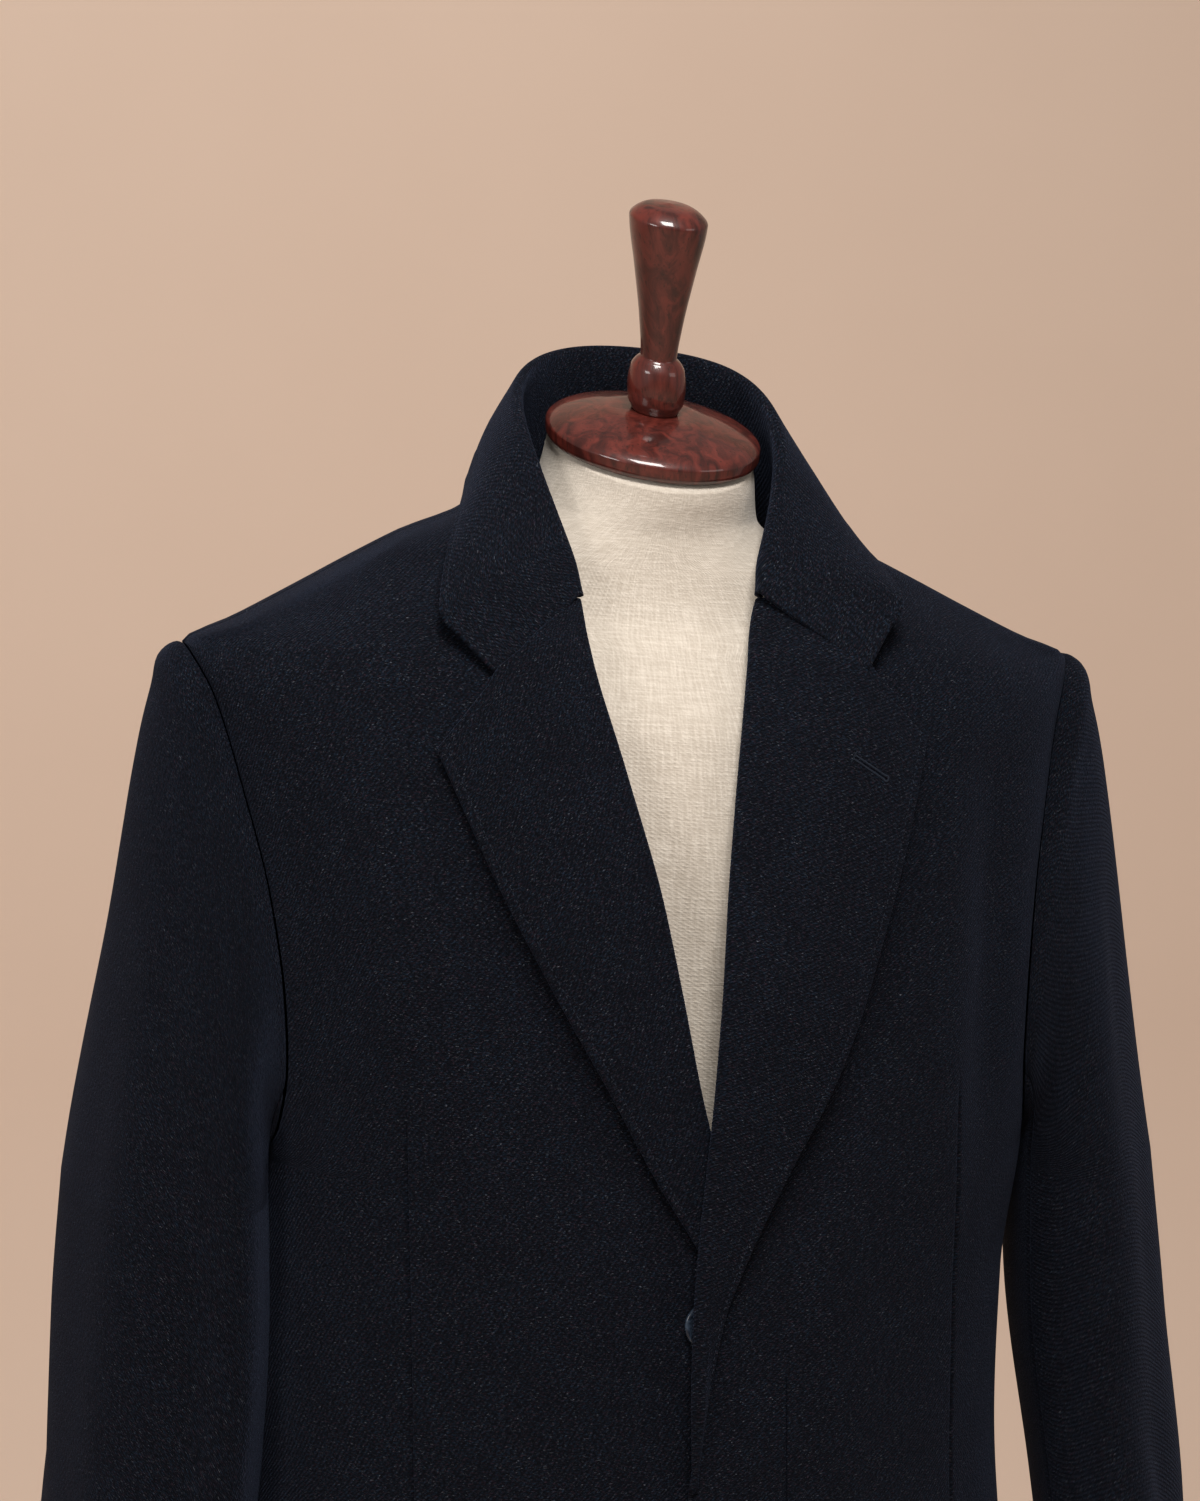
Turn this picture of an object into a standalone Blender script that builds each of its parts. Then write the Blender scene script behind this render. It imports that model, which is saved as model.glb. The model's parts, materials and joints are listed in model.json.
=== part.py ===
"""A wool overcoat on a dress form, at real size, in metres, +Z up.

The coat faces -Y and its wearer's left is +X. The origin is the middle of the round base's
underside, on the floor. Every panel of the coat is a wall of cloth that follows one coat surface,
which is worked out from a short table of sections. Lapels, collar and sleeves start from points of
that surface, so that they meet it at their seams. Tables are in centimetres, with heights counted
from the shoulder point, and CM and SHOULDER_HEIGHT place them.
"""

import bmesh
import bpy
import numpy as np

CM = 0.01
SHOULDER_HEIGHT = 1.42  # shoulder point above the floor, metres

# Cloth, in centimetres
WALL = 0.25  # overcoating with its canvas
SEAM = 0.03  # clearance between two pieces at a seam
FOLD_SEAM = 0.13  # and where a lapel turns off its front
ARMHOLE_SEAM = 0.06
SLEEVE_SEAM = 0.05
HEM = -96.0
UNDERARM = -25.0
NECK_POINT = 7.0  # where the shoulder seam meets the neck
NAPE_RISE = 2.6  # centre back neck above the neck point

# The coat hangs a little lower on its left shoulder: the drop fades in over this reach.
LEAN_DROP = 0.8
LEAN_REACH = 8.0
LEAN_BOTTOM, LEAN_TOP = -45.0, -5.0

# Coat sections: half width, depth in front of and behind the side seam, and squareness, which is
# the exponent of a superellipse. Hollow is how far the front sinks in towards the neck, and centre
# how far the section's middle hangs to the side.
SECTION_COLUMNS = ("height", "half_width", "front", "back", "squareness", "hollow", "centre")
SECTIONS = [
    (-96.0, 24.0, 16.0, 16.5, 2.25, 0.0, -0.9),
    (-80.0, 22.8, 15.4, 15.6, 2.30, 0.0, -0.9),
    (-64.0, 21.6, 14.7, 14.6, 2.35, 0.0, -0.9),
    (-50.0, 20.5, 14.1, 13.4, 2.40, 0.0, -0.9),
    (-40.0, 19.9, 13.7, 12.6, 2.40, 0.0, -0.9),
    (-32.0, 19.9, 13.5, 12.5, 2.40, 0.0, -0.6),
    (-25.0, 20.3, 13.3, 12.7, 2.40, 0.0, 0.0),
    (-17.0, 21.0, 12.9, 12.8, 2.40, 0.2, 0.0),
    (-10.0, 21.5, 12.3, 12.2, 2.35, 0.8, 0.0),
    (-4.5, 22.2, 11.4, 11.0, 2.25, 1.7, 0.0),
    (0.0, 23.1, 9.9, 9.6, 2.10, 2.5, 0.0),
    (1.2, 20.5, 9.3, 9.2, 2.10, 2.8, 0.0),
    (2.8, 17.3, 8.6, 8.8, 2.10, 3.0, 0.0),
    (4.2, 14.6, 8.0, 8.4, 2.10, 3.0, 0.0),
    (5.4, 12.2, 7.3, 8.0, 2.10, 3.0, 0.0),
    (7.0, 8.6, 6.4, 7.4, 2.10, 3.0, 0.0),
    (10.0, 8.0, 6.0, 6.6, 2.10, 3.0, 0.0),
]
HOLLOW_REACH = 10.0

# Armhole: where the front and the back panel end, measured from the centre
ARMHOLE_COLUMNS = ("height", "front_x", "back_x")
ARMHOLE = [
    (-25.0, 20.30, 20.30),
    (-24.5, 19.90, 19.85),
    (-23.0, 19.40, 19.40),
    (-20.0, 19.10, 18.95),
    (-17.0, 19.20, 18.85),
    (-12.0, 19.75, 19.25),
    (-7.0, 20.80, 20.40),
    (-2.4, 22.00, 21.90),
    (0.0, 23.10, 23.10),
]

# Front edges. Fold is the visible roll line, then the front edge below the break; it is measured
# towards the panel's own side, so a panel that crosses the centre has it negative.
# Edge is the lapel's outer edge.
FOLD_COLUMNS = ("height", "left", "right")
FOLD = [
    (-96.0, -0.6, -5.6),
    (-40.0, -0.8, -5.5),
    (-36.0, -0.8, -4.0),
    (-32.0, -0.7, -2.7),
    (-28.0, -0.4, -1.7),
    (-24.5, 0.0, -1.0),
    (-20.5, 0.5, -0.1),
    (-16.0, 1.0, 0.7),
    (-11.0, 1.6, 1.7),
    (-5.5, 2.5, 3.1),
    (0.0, 3.7, 4.4),
    (2.5, 4.4, 4.6),
    (5.4, 6.2, 6.2),
    (7.0, 7.7, 7.7),
]
LAPEL_COLUMNS = ("height", "left", "right")
LAPEL_EDGE = [
    (-40.0, -0.7, -5.4),
    (-35.0, 0.0, -3.2),
    (-31.2, 0.8, -1.4),
    (-28.4, 2.0, 0.0),
    (-24.4, 4.0, 2.4),
    (-20.3, 6.3, 4.6),
    (-15.8, 8.3, 7.1),
    (-10.8, 10.0, 9.6),
    (-2.8, 12.3, 12.9),
]
FRONT_COLUMNS, BACK_COLUMNS = 10, 8  # columns of cloth across one panel
# Each lapel, with heights: foot where it starts, gorge where its top leaves the fold, corner where
# its top meets its edge.
LAPEL = {
    "left": {"foot": -35.0, "gorge": 2.8, "corner": -2.9},
    "right": {"foot": -29.3, "gorge": 2.1, "corner": -4.5},
}
LAPEL_ROWS = 15
LAPEL_TURNS = (0, 60, 120, 165)  # degrees round the fold
NOTCH_SHARE = 0.62  # how far along the lapel's top the collar ends
NOTCH_RISE = 0.65  # the top's bend there
LAPEL_SHARES = (0.2, 0.41, NOTCH_SHARE, 0.81, 1.0)  # columns from the fold to the edge
FOLD_RADIUS = {"left": 0.32, "right": 0.17}  # of the cloth's middle, at the break
FOLD_RADIUS_TOP = 0.32  # and at the gorge
LAPEL_REST = 0.40  # middle of the lapel above the middle of the front, at its edge
OVERLAP_LIFT = 0.42  # the left front rides over the underlap
OVERLAP_PUSH = 0.34  # and the underlap sinks in
OVERLAP_REACH = 6.5

# Collar, from the right gorge round the back to the left gorge: its fold at the top, the outer
# edge of the leaf, and the foot of the stand.
COLLAR_COLUMNS = (
    "fold_x", "fold_y", "fold_z", "edge_x", "edge_y", "edge_z", "foot_x", "foot_y", "foot_z",
)  # fmt: skip
COLLAR = [
    (-4.50, -7.2, 2.95, -9.3, -9.8, -0.85, -4.85, -6.2, 2.75),
    (-4.75, -6.8, 4.1, -10.7, -9.2, 0.6, -5.20, -5.6, 3.4),
    (-5.15, -6.1, 5.5, -11.8, -8.5, 2.2, -5.60, -5.2, 4.4),
    (-5.90, -4.4, 8.3, -10.6, -4.8, 5.7, -6.60, -3.8, 5.9),
    (-6.35, -1.2, 11.2, -8.7, -0.8, 7.4, -7.90, -1.2, 7.5),
    (-5.70, 3.0, 13.3, -8.1, 4.0, 8.3, -7.30, 2.9, 8.0),
    (-3.40, 6.0, 14.8, -5.3, 7.5, 9.0, -4.20, 5.9, 9.4),
    (0.30, 7.4, 15.5, 0.3, 8.8, 9.2, 0.00, 6.9, 10.0),
    (4.80, 6.2, 15.4, 6.9, 7.6, 8.8, 4.20, 5.9, 9.4),
    (7.00, 3.0, 14.4, 9.6, 4.0, 7.6, 7.30, 2.9, 8.0),
    (7.50, -1.2, 12.3, 10.9, -0.8, 6.5, 7.90, -1.2, 7.5),
    (6.40, -4.4, 8.8, 11.6, -5.0, 5.2, 6.60, -3.8, 5.9),
    (5.20, -6.1, 6.0, 11.5, -8.5, 3.55, 5.60, -5.2, 4.6),
    (4.70, -6.8, 4.7, 10.4, -9.2, 1.9, 5.20, -5.6, 3.8),
    (4.35, -7.2, 3.7, 9.3, -9.8, 0.25, 4.85, -6.2, 3.35),
]
COLLAR_FOLD_RADIUS = 0.3
COLLAR_STATIONS = 29
COLLAR_REST = 0.34  # middle of the leaf above the front it lies on
LEAF_SHARES = (0, 0.25, 0.5, 0.75)  # columns from the leaf's edge to its fold
LEAF_BULGE = (0, 0.18, 0.3, 0.25)  # and how far the leaf is round there

# Sleeve: rings round the arm from the biceps down. Thick and deep are its half sizes across and
# from front to back, and turn is how far the front edge swings in, in degrees.
SLEEVE_COLUMNS = ("height", "centre_x", "centre_y", "thick", "deep", "turn")
SLEEVE = [
    (-27.0, 24.65, 0.4, 3.85, 8.4, 18.0),
    (-35.0, 25.10, 0.0, 3.85, 8.1, 20.0),
    (-45.0, 26.10, -1.0, 3.75, 7.7, 22.0),
    (-55.0, 26.70, -2.4, 3.45, 7.1, 24.0),
    (-63.5, 27.10, -4.0, 3.20, 6.5, 25.0),
]
SLEEVE_HEAD_OUT = 2.5  # how far the sleeve head stands out from the shoulder point
SLEEVE_HEAD_DROP = 13.0  # how long its fall stays steep
ARMPIT_OUT, ARMPIT_DROP = 1.0, 0.7  # the same at the underarm
SLEEVE_STEP = 15.0  # degrees between columns
FRONT_SEAM, BACK_SEAM = 135.0, -120.0  # seams between the top and the under sleeve
CAP_ROWS, ARM_ROWS = 8, 8
CAP_CROWDING = 1.25  # rows of the sleeve cap stand closer near the armhole

BUTTON_RADIUS, BUTTON_THICK = 1.15, 0.26
BUTTON_X, BUTTON_Z = 0.25, -31.9
BUTTON_ABOVE = 0.09  # clearance to the cloth it is sewn to
BUTTON_RIM = 0.06
BUTTON_SIDES = 20

# Dress form
FORM_COLUMNS = ("height", "half_width", "front", "back", "squareness")
FORM = [
    (-64.0, 15.6, 9.8, 10.2, 2.2),
    (-62.5, 16.8, 10.6, 11.2, 2.2),
    (-55.0, 17.4, 10.8, 11.6, 2.2),
    (-40.0, 14.6, 9.4, 9.2, 2.2),
    (-25.0, 17.0, 11.2, 10.6, 2.3),
    (-12.0, 18.2, 10.6, 10.8, 2.3),
    (-4.0, 18.9, 9.0, 9.4, 2.2),
    (0.2, 18.3, 7.0, 8.0, 2.0),
    (1.2, 17.6, 6.3, 7.4, 2.0),
    (2.0, 16.6, 5.9, 7.1, 2.0),
    (3.4, 13.7, 5.6, 6.9, 2.0),
    (4.8, 10.6, 5.5, 6.3, 2.0),
    (5.8, 7.9, 5.5, 5.7, 2.0),
    (7.2, 5.9, 5.7, 5.1, 2.0),
    (10.2, 5.2, 6.0, 4.5, 2.0),
]
FORM_SIDES = 32
SHOULDER_REST = (0.8, 5.0)  # heights between which the form carries the coat
REST_INSET = 0.76  # the form's shoulder ridge, in from the coat's outer one

CAP_CENTRE = (0.75, -0.75, 10.75)
CAP_TILT, CAP_LEAN = 19.0, -1.0  # degrees forward and to the wearer's left
# Turned profiles: height along the axis, radius
CAP_PROFILE = [
    (-0.55, 0.0), (-0.55, 4.7), (-0.45, 5.2), (-0.1, 5.45), (0.3, 5.45), (0.6, 5.2),
    (0.95, 4.4), (1.3, 3.1), (1.5, 2.0), (1.55, 0.0),
]  # fmt: skip
FINIAL_PROFILE = [
    (1.54, 0.0), (1.54, 1.15), (1.75, 1.25), (2.1, 1.42), (2.9, 1.48), (3.8, 1.36), (4.2, 1.12),
    (4.4, 0.92), (6.2, 1.1), (9.0, 1.55), (11.1, 1.92), (11.5, 1.95), (11.8, 1.75),
    (12.15, 1.15), (12.3, 0.0),
]  # fmt: skip
POLE_PROFILE = [(2.65, 0.0), (2.65, 1.9), (5.0, 1.7), (40.0, 1.6), (77.96, 1.6), (77.96, 0.0)]
BASE_PROFILE = [
    (0.0, 0.0), (0.0, 18.5), (0.5, 19.0), (1.3, 18.6), (2.0, 15.5), (2.4, 8.0), (2.6, 3.2),
    (2.6, 0.0),
]  # fmt: skip
TURNED_SIDES = 28

NAVY = (0.006, 0.010, 0.018, 1.0)
HORN = (0.010, 0.014, 0.022, 1.0)
LINEN = (0.66, 0.58, 0.45, 1.0)
MAHOGANY = (0.075, 0.012, 0.008, 1.0)


# --- small helpers ---------------------------------------------------------------------------


def column(table, columns, name):
    return np.array([row[columns.index(name)] for row in table], float)


def read(table, columns, name, at):
    """One column of a table at any height, by a monotone cubic through its rows."""
    x, y = table_heights(table), column(table, columns, name)
    step = np.diff(y) / np.diff(x)
    slope = np.zeros_like(y)
    slope[0], slope[-1] = step[0], step[-1]
    same_way = step[:-1] * step[1:] > 0
    inner = np.zeros(len(y) - 2)
    inner[same_way] = 2 / (1 / step[:-1][same_way] + 1 / step[1:][same_way])
    slope[1:-1] = inner
    at = np.clip(np.asarray(at, float), x[0], x[-1])
    k = np.clip(np.searchsorted(x, at) - 1, 0, len(x) - 2)
    width = x[k + 1] - x[k]
    t = (at - x[k]) / width
    return (
        (1 + 2 * t) * (1 - t) ** 2 * y[k]
        + t * (1 - t) ** 2 * width * slope[k]
        + t**2 * (3 - 2 * t) * y[k + 1]
        + t**2 * (t - 1) * width * slope[k + 1]
    )


def table_heights(table):
    return np.array([row[0] for row in table], float)


def smooth(low, high, value):
    """0 below low, 1 above high, with a soft step between."""
    t = np.clip((np.asarray(value, float) - low) / (high - low), 0, 1)
    return t * t * (3 - 2 * t)


def unit(vectors):
    return vectors / np.linalg.norm(vectors, axis=-1, keepdims=True)


def lean(points):
    """The whole figure hangs a little lower on its left shoulder."""
    points = np.array(points, float)
    ramp = smooth(LEAN_BOTTOM, LEAN_TOP, points[..., 2])
    points[..., 2] -= LEAN_DROP * np.tanh(points[..., 0] / LEAN_REACH) * ramp
    return points


def to_metres(points):
    return np.asarray(points, float) * CM + (0, 0, SHOULDER_HEIGHT)


def add_object(name, points, faces, material):
    mesh = bpy.data.meshes.new(name)
    mesh.from_pydata([tuple(p) for p in points], [], faces)
    shape = bmesh.new()
    shape.from_mesh(mesh)
    bmesh.ops.recalc_face_normals(shape, faces=shape.faces)
    bmesh.ops.triangulate(shape, faces=shape.faces, quad_method="SHORT_EDGE")
    shape.to_mesh(mesh)
    shape.free()
    mesh.shade_smooth()
    mesh.set_sharp_from_angle(angle=np.radians(40))
    mesh.materials.append(material)
    obj = bpy.data.objects.new(name, mesh)
    bpy.context.scene.collection.objects.link(obj)
    return obj


def grid_normals(grid):
    down = np.gradient(grid, axis=0)
    across = np.gradient(grid, axis=1)
    return unit(np.cross(across, down))


def wall(name, outer, inner, material):
    """A closed wall of cloth between two grids of the same rows and columns."""
    rows, columns = outer.shape[:2]
    index = np.arange(rows * columns).reshape(rows, columns)
    back = index + rows * columns
    a, b, c, d = index[:-1, :-1], index[:-1, 1:], index[1:, 1:], index[1:, :-1]
    face_sets = [np.stack([a, b, c, d], -1).reshape(-1, 4)]
    e, f, g, h = back[:-1, :-1], back[:-1, 1:], back[1:, 1:], back[1:, :-1]
    face_sets.append(np.stack([h, g, f, e], -1).reshape(-1, 4))
    loop = np.concatenate([index[0, :-1], index[:-1, -1], index[-1, :0:-1], index[:0:-1, 0]])
    after = np.roll(loop, -1)
    far = rows * columns
    face_sets.append(np.stack([after, loop, loop + far, after + far], -1))
    points = lean(np.concatenate([outer.reshape(-1, 3), inner.reshape(-1, 3)]))
    return add_object(name, to_metres(points), np.concatenate(face_sets).tolist(), material)


def thick_wall(name, middle, material):
    normals = grid_normals(middle)
    return wall(name, middle + normals * WALL / 2, middle - normals * WALL / 2, material)


# --- the coat's surface ----------------------------------------------------------------------


def section(name, height):
    return read(SECTIONS, SECTION_COLUMNS, name, height)


def coat_surface(angle, height):
    """Point of the coat's outer face. Angle is 0 at the centre front, a quarter turn at the left
    side seam and a half turn at the centre back; minus is the right side."""
    angle, height = np.broadcast_arrays(np.asarray(angle, float), np.asarray(height, float))
    power = 2 / section("squareness", height)
    across, along = np.sin(angle), np.cos(angle)
    x = section("half_width", height) * np.sign(across) * np.abs(across) ** power
    depth = np.where(along > 0, -section("front", height), section("back", height))
    y = depth * np.abs(along) ** power
    near = np.clip(1 - (x / HOLLOW_REACH) ** 2, 0, 1) ** 2
    sunk = section("hollow", height) * near * np.abs(along) ** power
    y = y + np.where(along > 0, sunk, 0)
    return np.stack([x + section("centre", height), y, height], -1)


def surface_normal(surface, u, v, step=1e-3):
    """Outward normal of a surface of two parameters, from its differences."""
    along_u = surface(u + step, v) - surface(u - step, v)
    along_v = surface(u, v + step) - surface(u, v - step)
    return unit(np.cross(along_u, along_v))


def angle_of(x, height):
    """The front angle at which the coat surface has this x."""
    from_centre = x - section("centre", height)
    ratio = np.clip(np.abs(from_centre) / section("half_width", height), 0, 1)
    return np.sign(from_centre) * np.arcsin(ratio ** (section("squareness", height) / 2))


def seam_angle(height, depth_name):
    """How far short of the side seam a panel stops, as an angle, to leave half the clearance."""
    ratio = SEAM / 2 / section(depth_name, height)
    return np.arcsin(ratio ** (section("squareness", height) / 2))


def fold_x(side, height):
    return read(FOLD, FOLD_COLUMNS, side, height)


def fold_radius(side, height):
    return FOLD_RADIUS[side] + (FOLD_RADIUS_TOP - FOLD_RADIUS[side]) * smooth(-16, 0, height)


def front_lift(side, x, height):
    """How far the left front stands proud over the underlap, or the underlap sinks in."""
    if side == "left":
        near = 1 - smooth(OVERLAP_REACH, OVERLAP_REACH + 3, x)
        return near * OVERLAP_LIFT * smooth(-56, -44, height) * (1 - smooth(-17, -8, height))
    near = 1 - smooth(1.5, 4.5, x)
    return -near * OVERLAP_PUSH * (1 - smooth(-17, -10, height))


def front_point(side, x, height):
    """Outer point and outward normal of a front panel, at a distance x towards its own side."""
    sign = SIGN[side]
    angle = angle_of(np.asarray(x, float) * sign, height)
    point = coat_surface(angle, height)
    normal = surface_normal(coat_surface, angle, np.asarray(height, float))
    return point + normal * front_lift(side, x, height)[..., None], normal


SIGN = {"left": 1, "right": -1}


def panel_rows():
    """Heights of the rows that front and back share: skirt, armhole and shoulder."""
    skirt = np.concatenate([np.linspace(HEM, -49, 7), [-44.5, -40, -35.3, -32, -29.6, -27.2]])
    turn = np.radians(np.arange(180, -1, -15))
    armhole = UNDERARM / 2 * (1 - np.cos(turn))
    roof = np.linspace(0, NECK_POINT, 7)[1:]
    return skirt, armhole, roof


def armhole_x(depth_name, height):
    return read(ARMHOLE, ARMHOLE_COLUMNS, depth_name + "_x", height)


# --- pieces ----------------------------------------------------------------------------------


def make_front(side, cloth):
    skirt, armhole, roof = panel_rows()
    heights = np.concatenate([skirt, armhole, roof])
    in_armhole = (heights > UNDERARM) & (heights < 0)
    inner_x = fold_x(side, heights)
    turned = heights > LAPEL[side]["foot"] - 0.35
    inner_x = inner_x + np.where(turned, fold_radius(side, heights) + WALL / 2 + FOLD_SEAM, 0)
    sign = SIGN[side]
    start = angle_of(inner_x * sign, heights)
    end = np.where(
        in_armhole,
        angle_of((armhole_x("front", heights) - SEAM / 2) * sign, heights),
        sign * (np.pi / 2 - seam_angle(heights, "front")),
    )
    share = np.linspace(0, 1, FRONT_COLUMNS)[None, :]
    angles = start[:, None] + (end - start)[:, None] * share
    levels = np.repeat(heights[:, None], FRONT_COLUMNS, 1)
    points = coat_surface(angles, levels)
    normals = surface_normal(coat_surface, angles, levels)
    x = points[..., 0] * sign
    outer = points + normals * front_lift(side, x, levels)[..., None]
    return wall(f"front_{side}", outer, outer - normals * WALL, cloth)


def make_back(side, cloth):
    skirt, armhole, roof = panel_rows()
    heights = np.concatenate([skirt, armhole, roof])
    sign = SIGN[side]
    in_armhole = (heights > UNDERARM) & (heights < 0)
    arm_angle = np.pi - angle_of(armhole_x("back", heights) - SEAM / 2, heights)
    side_angle = np.pi / 2 + seam_angle(heights, "back")
    start = np.where(in_armhole, arm_angle, side_angle)
    centre = SEAM / 2 / section("half_width", heights)
    end = np.pi - np.arcsin(centre ** (section("squareness", heights) / 2))
    share = np.linspace(0, 1, BACK_COLUMNS)[None, :]
    angles = start[:, None] + (end - start)[:, None] * share
    rise = NAPE_RISE * smooth(0, NECK_POINT, heights)[:, None] * np.cos(angles) ** 2
    levels = heights[:, None] + rise
    outer = coat_surface(sign * angles, levels)
    normals = surface_normal(coat_surface, sign * angles, levels)
    return wall(f"back_{side}", outer, outer - normals * WALL, cloth)


def make_lapel(side, cloth):
    """The facing: it turns round the front's edge and lies on the front, out to the lapel edge."""
    sizes, sign = LAPEL[side], SIGN[side]
    rows = np.linspace(0, 1, LAPEL_ROWS)
    fold_z = sizes["foot"] + (sizes["gorge"] - sizes["foot"]) * rows
    edge_z = sizes["foot"] + (sizes["corner"] - sizes["foot"]) * rows
    radius = fold_radius(side, fold_z)
    hem_x = fold_x(side, fold_z) + radius + WALL / 2 + FOLD_SEAM
    point, normal = front_point(side, hem_x, fold_z)
    middle = point - normal * WALL / 2
    level = np.stack([np.full_like(fold_z, -sign), 0 * fold_z, 0 * fold_z], -1)
    towards = unit(level - normal * np.sum(level * normal, -1, keepdims=True))
    columns = []
    for turn in np.radians(LAPEL_TURNS):
        out = FOLD_SEAM + radius * np.sin(turn)
        up = radius * (1 - np.cos(turn))
        columns.append(middle + towards * out[:, None] + normal * up[:, None])
    edge_x = read(LAPEL_EDGE, LAPEL_COLUMNS, side, edge_z)
    for share in LAPEL_SHARES:
        x = hem_x + (edge_x - hem_x) * share
        bend = NOTCH_RISE * min(share / NOTCH_SHARE, (1 - share) / (1 - NOTCH_SHARE))
        z = fold_z + (edge_z - fold_z) * share + bend * rows**4
        point, normal = front_point(side, x, z)
        height = 2 * radius + (LAPEL_REST - 2 * radius) * smooth(0, 0.9, share)
        columns.append(point + normal * (height - WALL / 2)[:, None])
    return thick_wall(f"lapel_{side}", np.stack(columns, 1), cloth)


def make_collar(cloth):
    """Leaf, fold and stand as one turned band, along stations from one gorge to the other."""
    station = np.linspace(0, len(COLLAR) - 1, COLLAR_STATIONS)
    numbered = [(number, *row) for number, row in enumerate(COLLAR)]
    names = ("station", *COLLAR_COLUMNS)

    def line(name):
        parts = [read(numbered, names, f"{name}_{axis}", station) for axis in "xyz"]
        return np.stack(parts, -1)

    fold, edge, foot = line("fold"), line("edge"), line("foot")
    outward = edge - foot
    outward[:, 2] = 0
    outward = unit(outward)
    centre = fold - [0, 0, COLLAR_FOLD_RADIUS]
    leaf_top = centre + outward * COLLAR_FOLD_RADIUS
    stand_top = centre - outward * COLLAR_FOLD_RADIUS
    columns = [
        edge + (leaf_top - edge) * share + outward * bulge
        for share, bulge in zip(LEAF_SHARES, LEAF_BULGE)
    ]
    for turn in np.radians([0, 60, 120, 180]):
        arc = outward * np.cos(turn) * COLLAR_FOLD_RADIUS
        columns.append(centre + arc + [0, 0, np.sin(turn) * COLLAR_FOLD_RADIUS])
    columns += [stand_top + (foot - stand_top) * share for share in (0.5, 1.0)]
    middle = np.stack(columns, 1)
    leaf = middle[:, : len(LEAF_SHARES) + 1]
    x, height = leaf[..., 0], leaf[..., 2]
    rest = coat_surface(angle_of(x, height), height)[..., 1] - COLLAR_REST
    on_front = (leaf[..., 1] < 0) & (np.abs(x) < 0.9 * section("half_width", height))
    leaf[..., 1] = np.where(on_front, np.minimum(leaf[..., 1], rest), leaf[..., 1])
    return thick_wall("collar", middle, cloth)


def sleeve_ring(name, height):
    return read(SLEEVE[::-1], SLEEVE_COLUMNS, name, height)


def arm_surface(turn, height):
    """The sleeve below the biceps: turn is 0 outside, a quarter turn at the front."""
    swing = np.radians(sleeve_ring("turn", height))
    across = sleeve_ring("thick", height) * np.cos(turn)
    forward = sleeve_ring("deep", height) * np.sin(turn)
    x = sleeve_ring("centre_x", height) + across * np.cos(swing) - forward * np.sin(swing)
    y = sleeve_ring("centre_y", height) - across * np.sin(swing) - forward * np.cos(swing)
    return np.stack([x, y, height + 0 * turn], -1)


def cap_surface(turn, share):
    """The sleeve from the armhole, at share 0, to the biceps ring, at share 1."""
    turn, share = np.broadcast_arrays(np.asarray(turn, float), np.asarray(share, float))
    level = UNDERARM / 2 * (1 - np.cos(turn))
    front = np.sin(turn) >= 0
    x = np.where(front, armhole_x("front", level), armhole_x("back", level))
    angle = angle_of(x, level)
    start = coat_surface(np.where(front, angle, np.pi - angle), level)
    start = start + np.array([ARMHOLE_SEAM, 0, 0])
    top = SLEEVE[0][0]
    end = arm_surface(turn, np.full_like(turn, top))
    high = ((1 + np.cos(turn)) / 2)[..., None]
    side = np.sin(turn)[..., None]
    out = unit(np.concatenate([0.5 + 0.5 * high, -0.45 * side, -0.7 + 0.85 * high], -1))
    first = start + out * (ARMPIT_OUT + (SLEEVE_HEAD_OUT - ARMPIT_OUT) * high)
    rise = np.concatenate([-0.17 * high, 0 * high, 1 + 0 * high], -1)
    last = end + rise * (ARMPIT_DROP + (SLEEVE_HEAD_DROP - ARMPIT_DROP) * high**1.2)
    t = share[..., None]
    return (
        (1 - t) ** 3 * start
        + 3 * t * (1 - t) ** 2 * first
        + 3 * t**2 * (1 - t) * last
        + t**3 * end
    )


def make_sleeve(side, half, cloth):
    """One of the two pieces of a sleeve, from the armhole seam to the open cuff."""
    spare = np.degrees(SLEEVE_SEAM / 2 / SLEEVE[0][3])
    ends = {"top": (BACK_SEAM, FRONT_SEAM), "under": (FRONT_SEAM, BACK_SEAM + 360)}[half]
    turns = np.arange(ends[0], ends[1] + 1, SLEEVE_STEP)
    turns[0] += spare
    turns[-1] -= spare
    turns = np.radians(turns)
    shares = (np.arange(CAP_ROWS) / CAP_ROWS) ** CAP_CROWDING
    cap_turn, cap_share = np.meshgrid(turns, shares)
    levels = np.linspace(SLEEVE[0][0], SLEEVE[-1][0], ARM_ROWS + 1)
    arm_turn, arm_level = np.meshgrid(turns, levels)
    outer = np.concatenate([cap_surface(cap_turn, cap_share), arm_surface(arm_turn, arm_level)])
    normals = np.concatenate(
        [
            surface_normal(cap_surface, cap_turn, cap_share + 2e-3),
            -surface_normal(arm_surface, arm_turn, arm_level),
        ]
    )
    mirror = np.array([SIGN[side], 1, 1])
    inner = outer - normals * WALL
    return wall(f"sleeve_{half}_{side}", outer * mirror, inner * mirror, cloth)


def make_button(horn):
    """A flat round button with a rounded rim, on the underlap."""
    x = np.array([-BUTTON_X])
    point, normal = front_point("right", x, np.array([BUTTON_Z]))
    point, normal = point[0], normal[0]
    side = unit(np.cross(normal, [0, 0, 1]))
    up = np.cross(side, normal)
    profile = [
        (0, 0.8), (BUTTON_RIM, 1.0), (BUTTON_THICK - BUTTON_RIM, 1.0), (BUTTON_THICK, 0.85),
    ]  # fmt: skip
    turns = np.linspace(0, 2 * np.pi, BUTTON_SIDES, endpoint=False)
    rings = []
    for height, share in profile:
        ring = np.outer(np.cos(turns), side) + np.outer(np.sin(turns), up)
        rings.append(point + normal * (BUTTON_ABOVE + height) + ring * BUTTON_RADIUS * share)
    add_turned("button", np.array(rings), horn)


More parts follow.
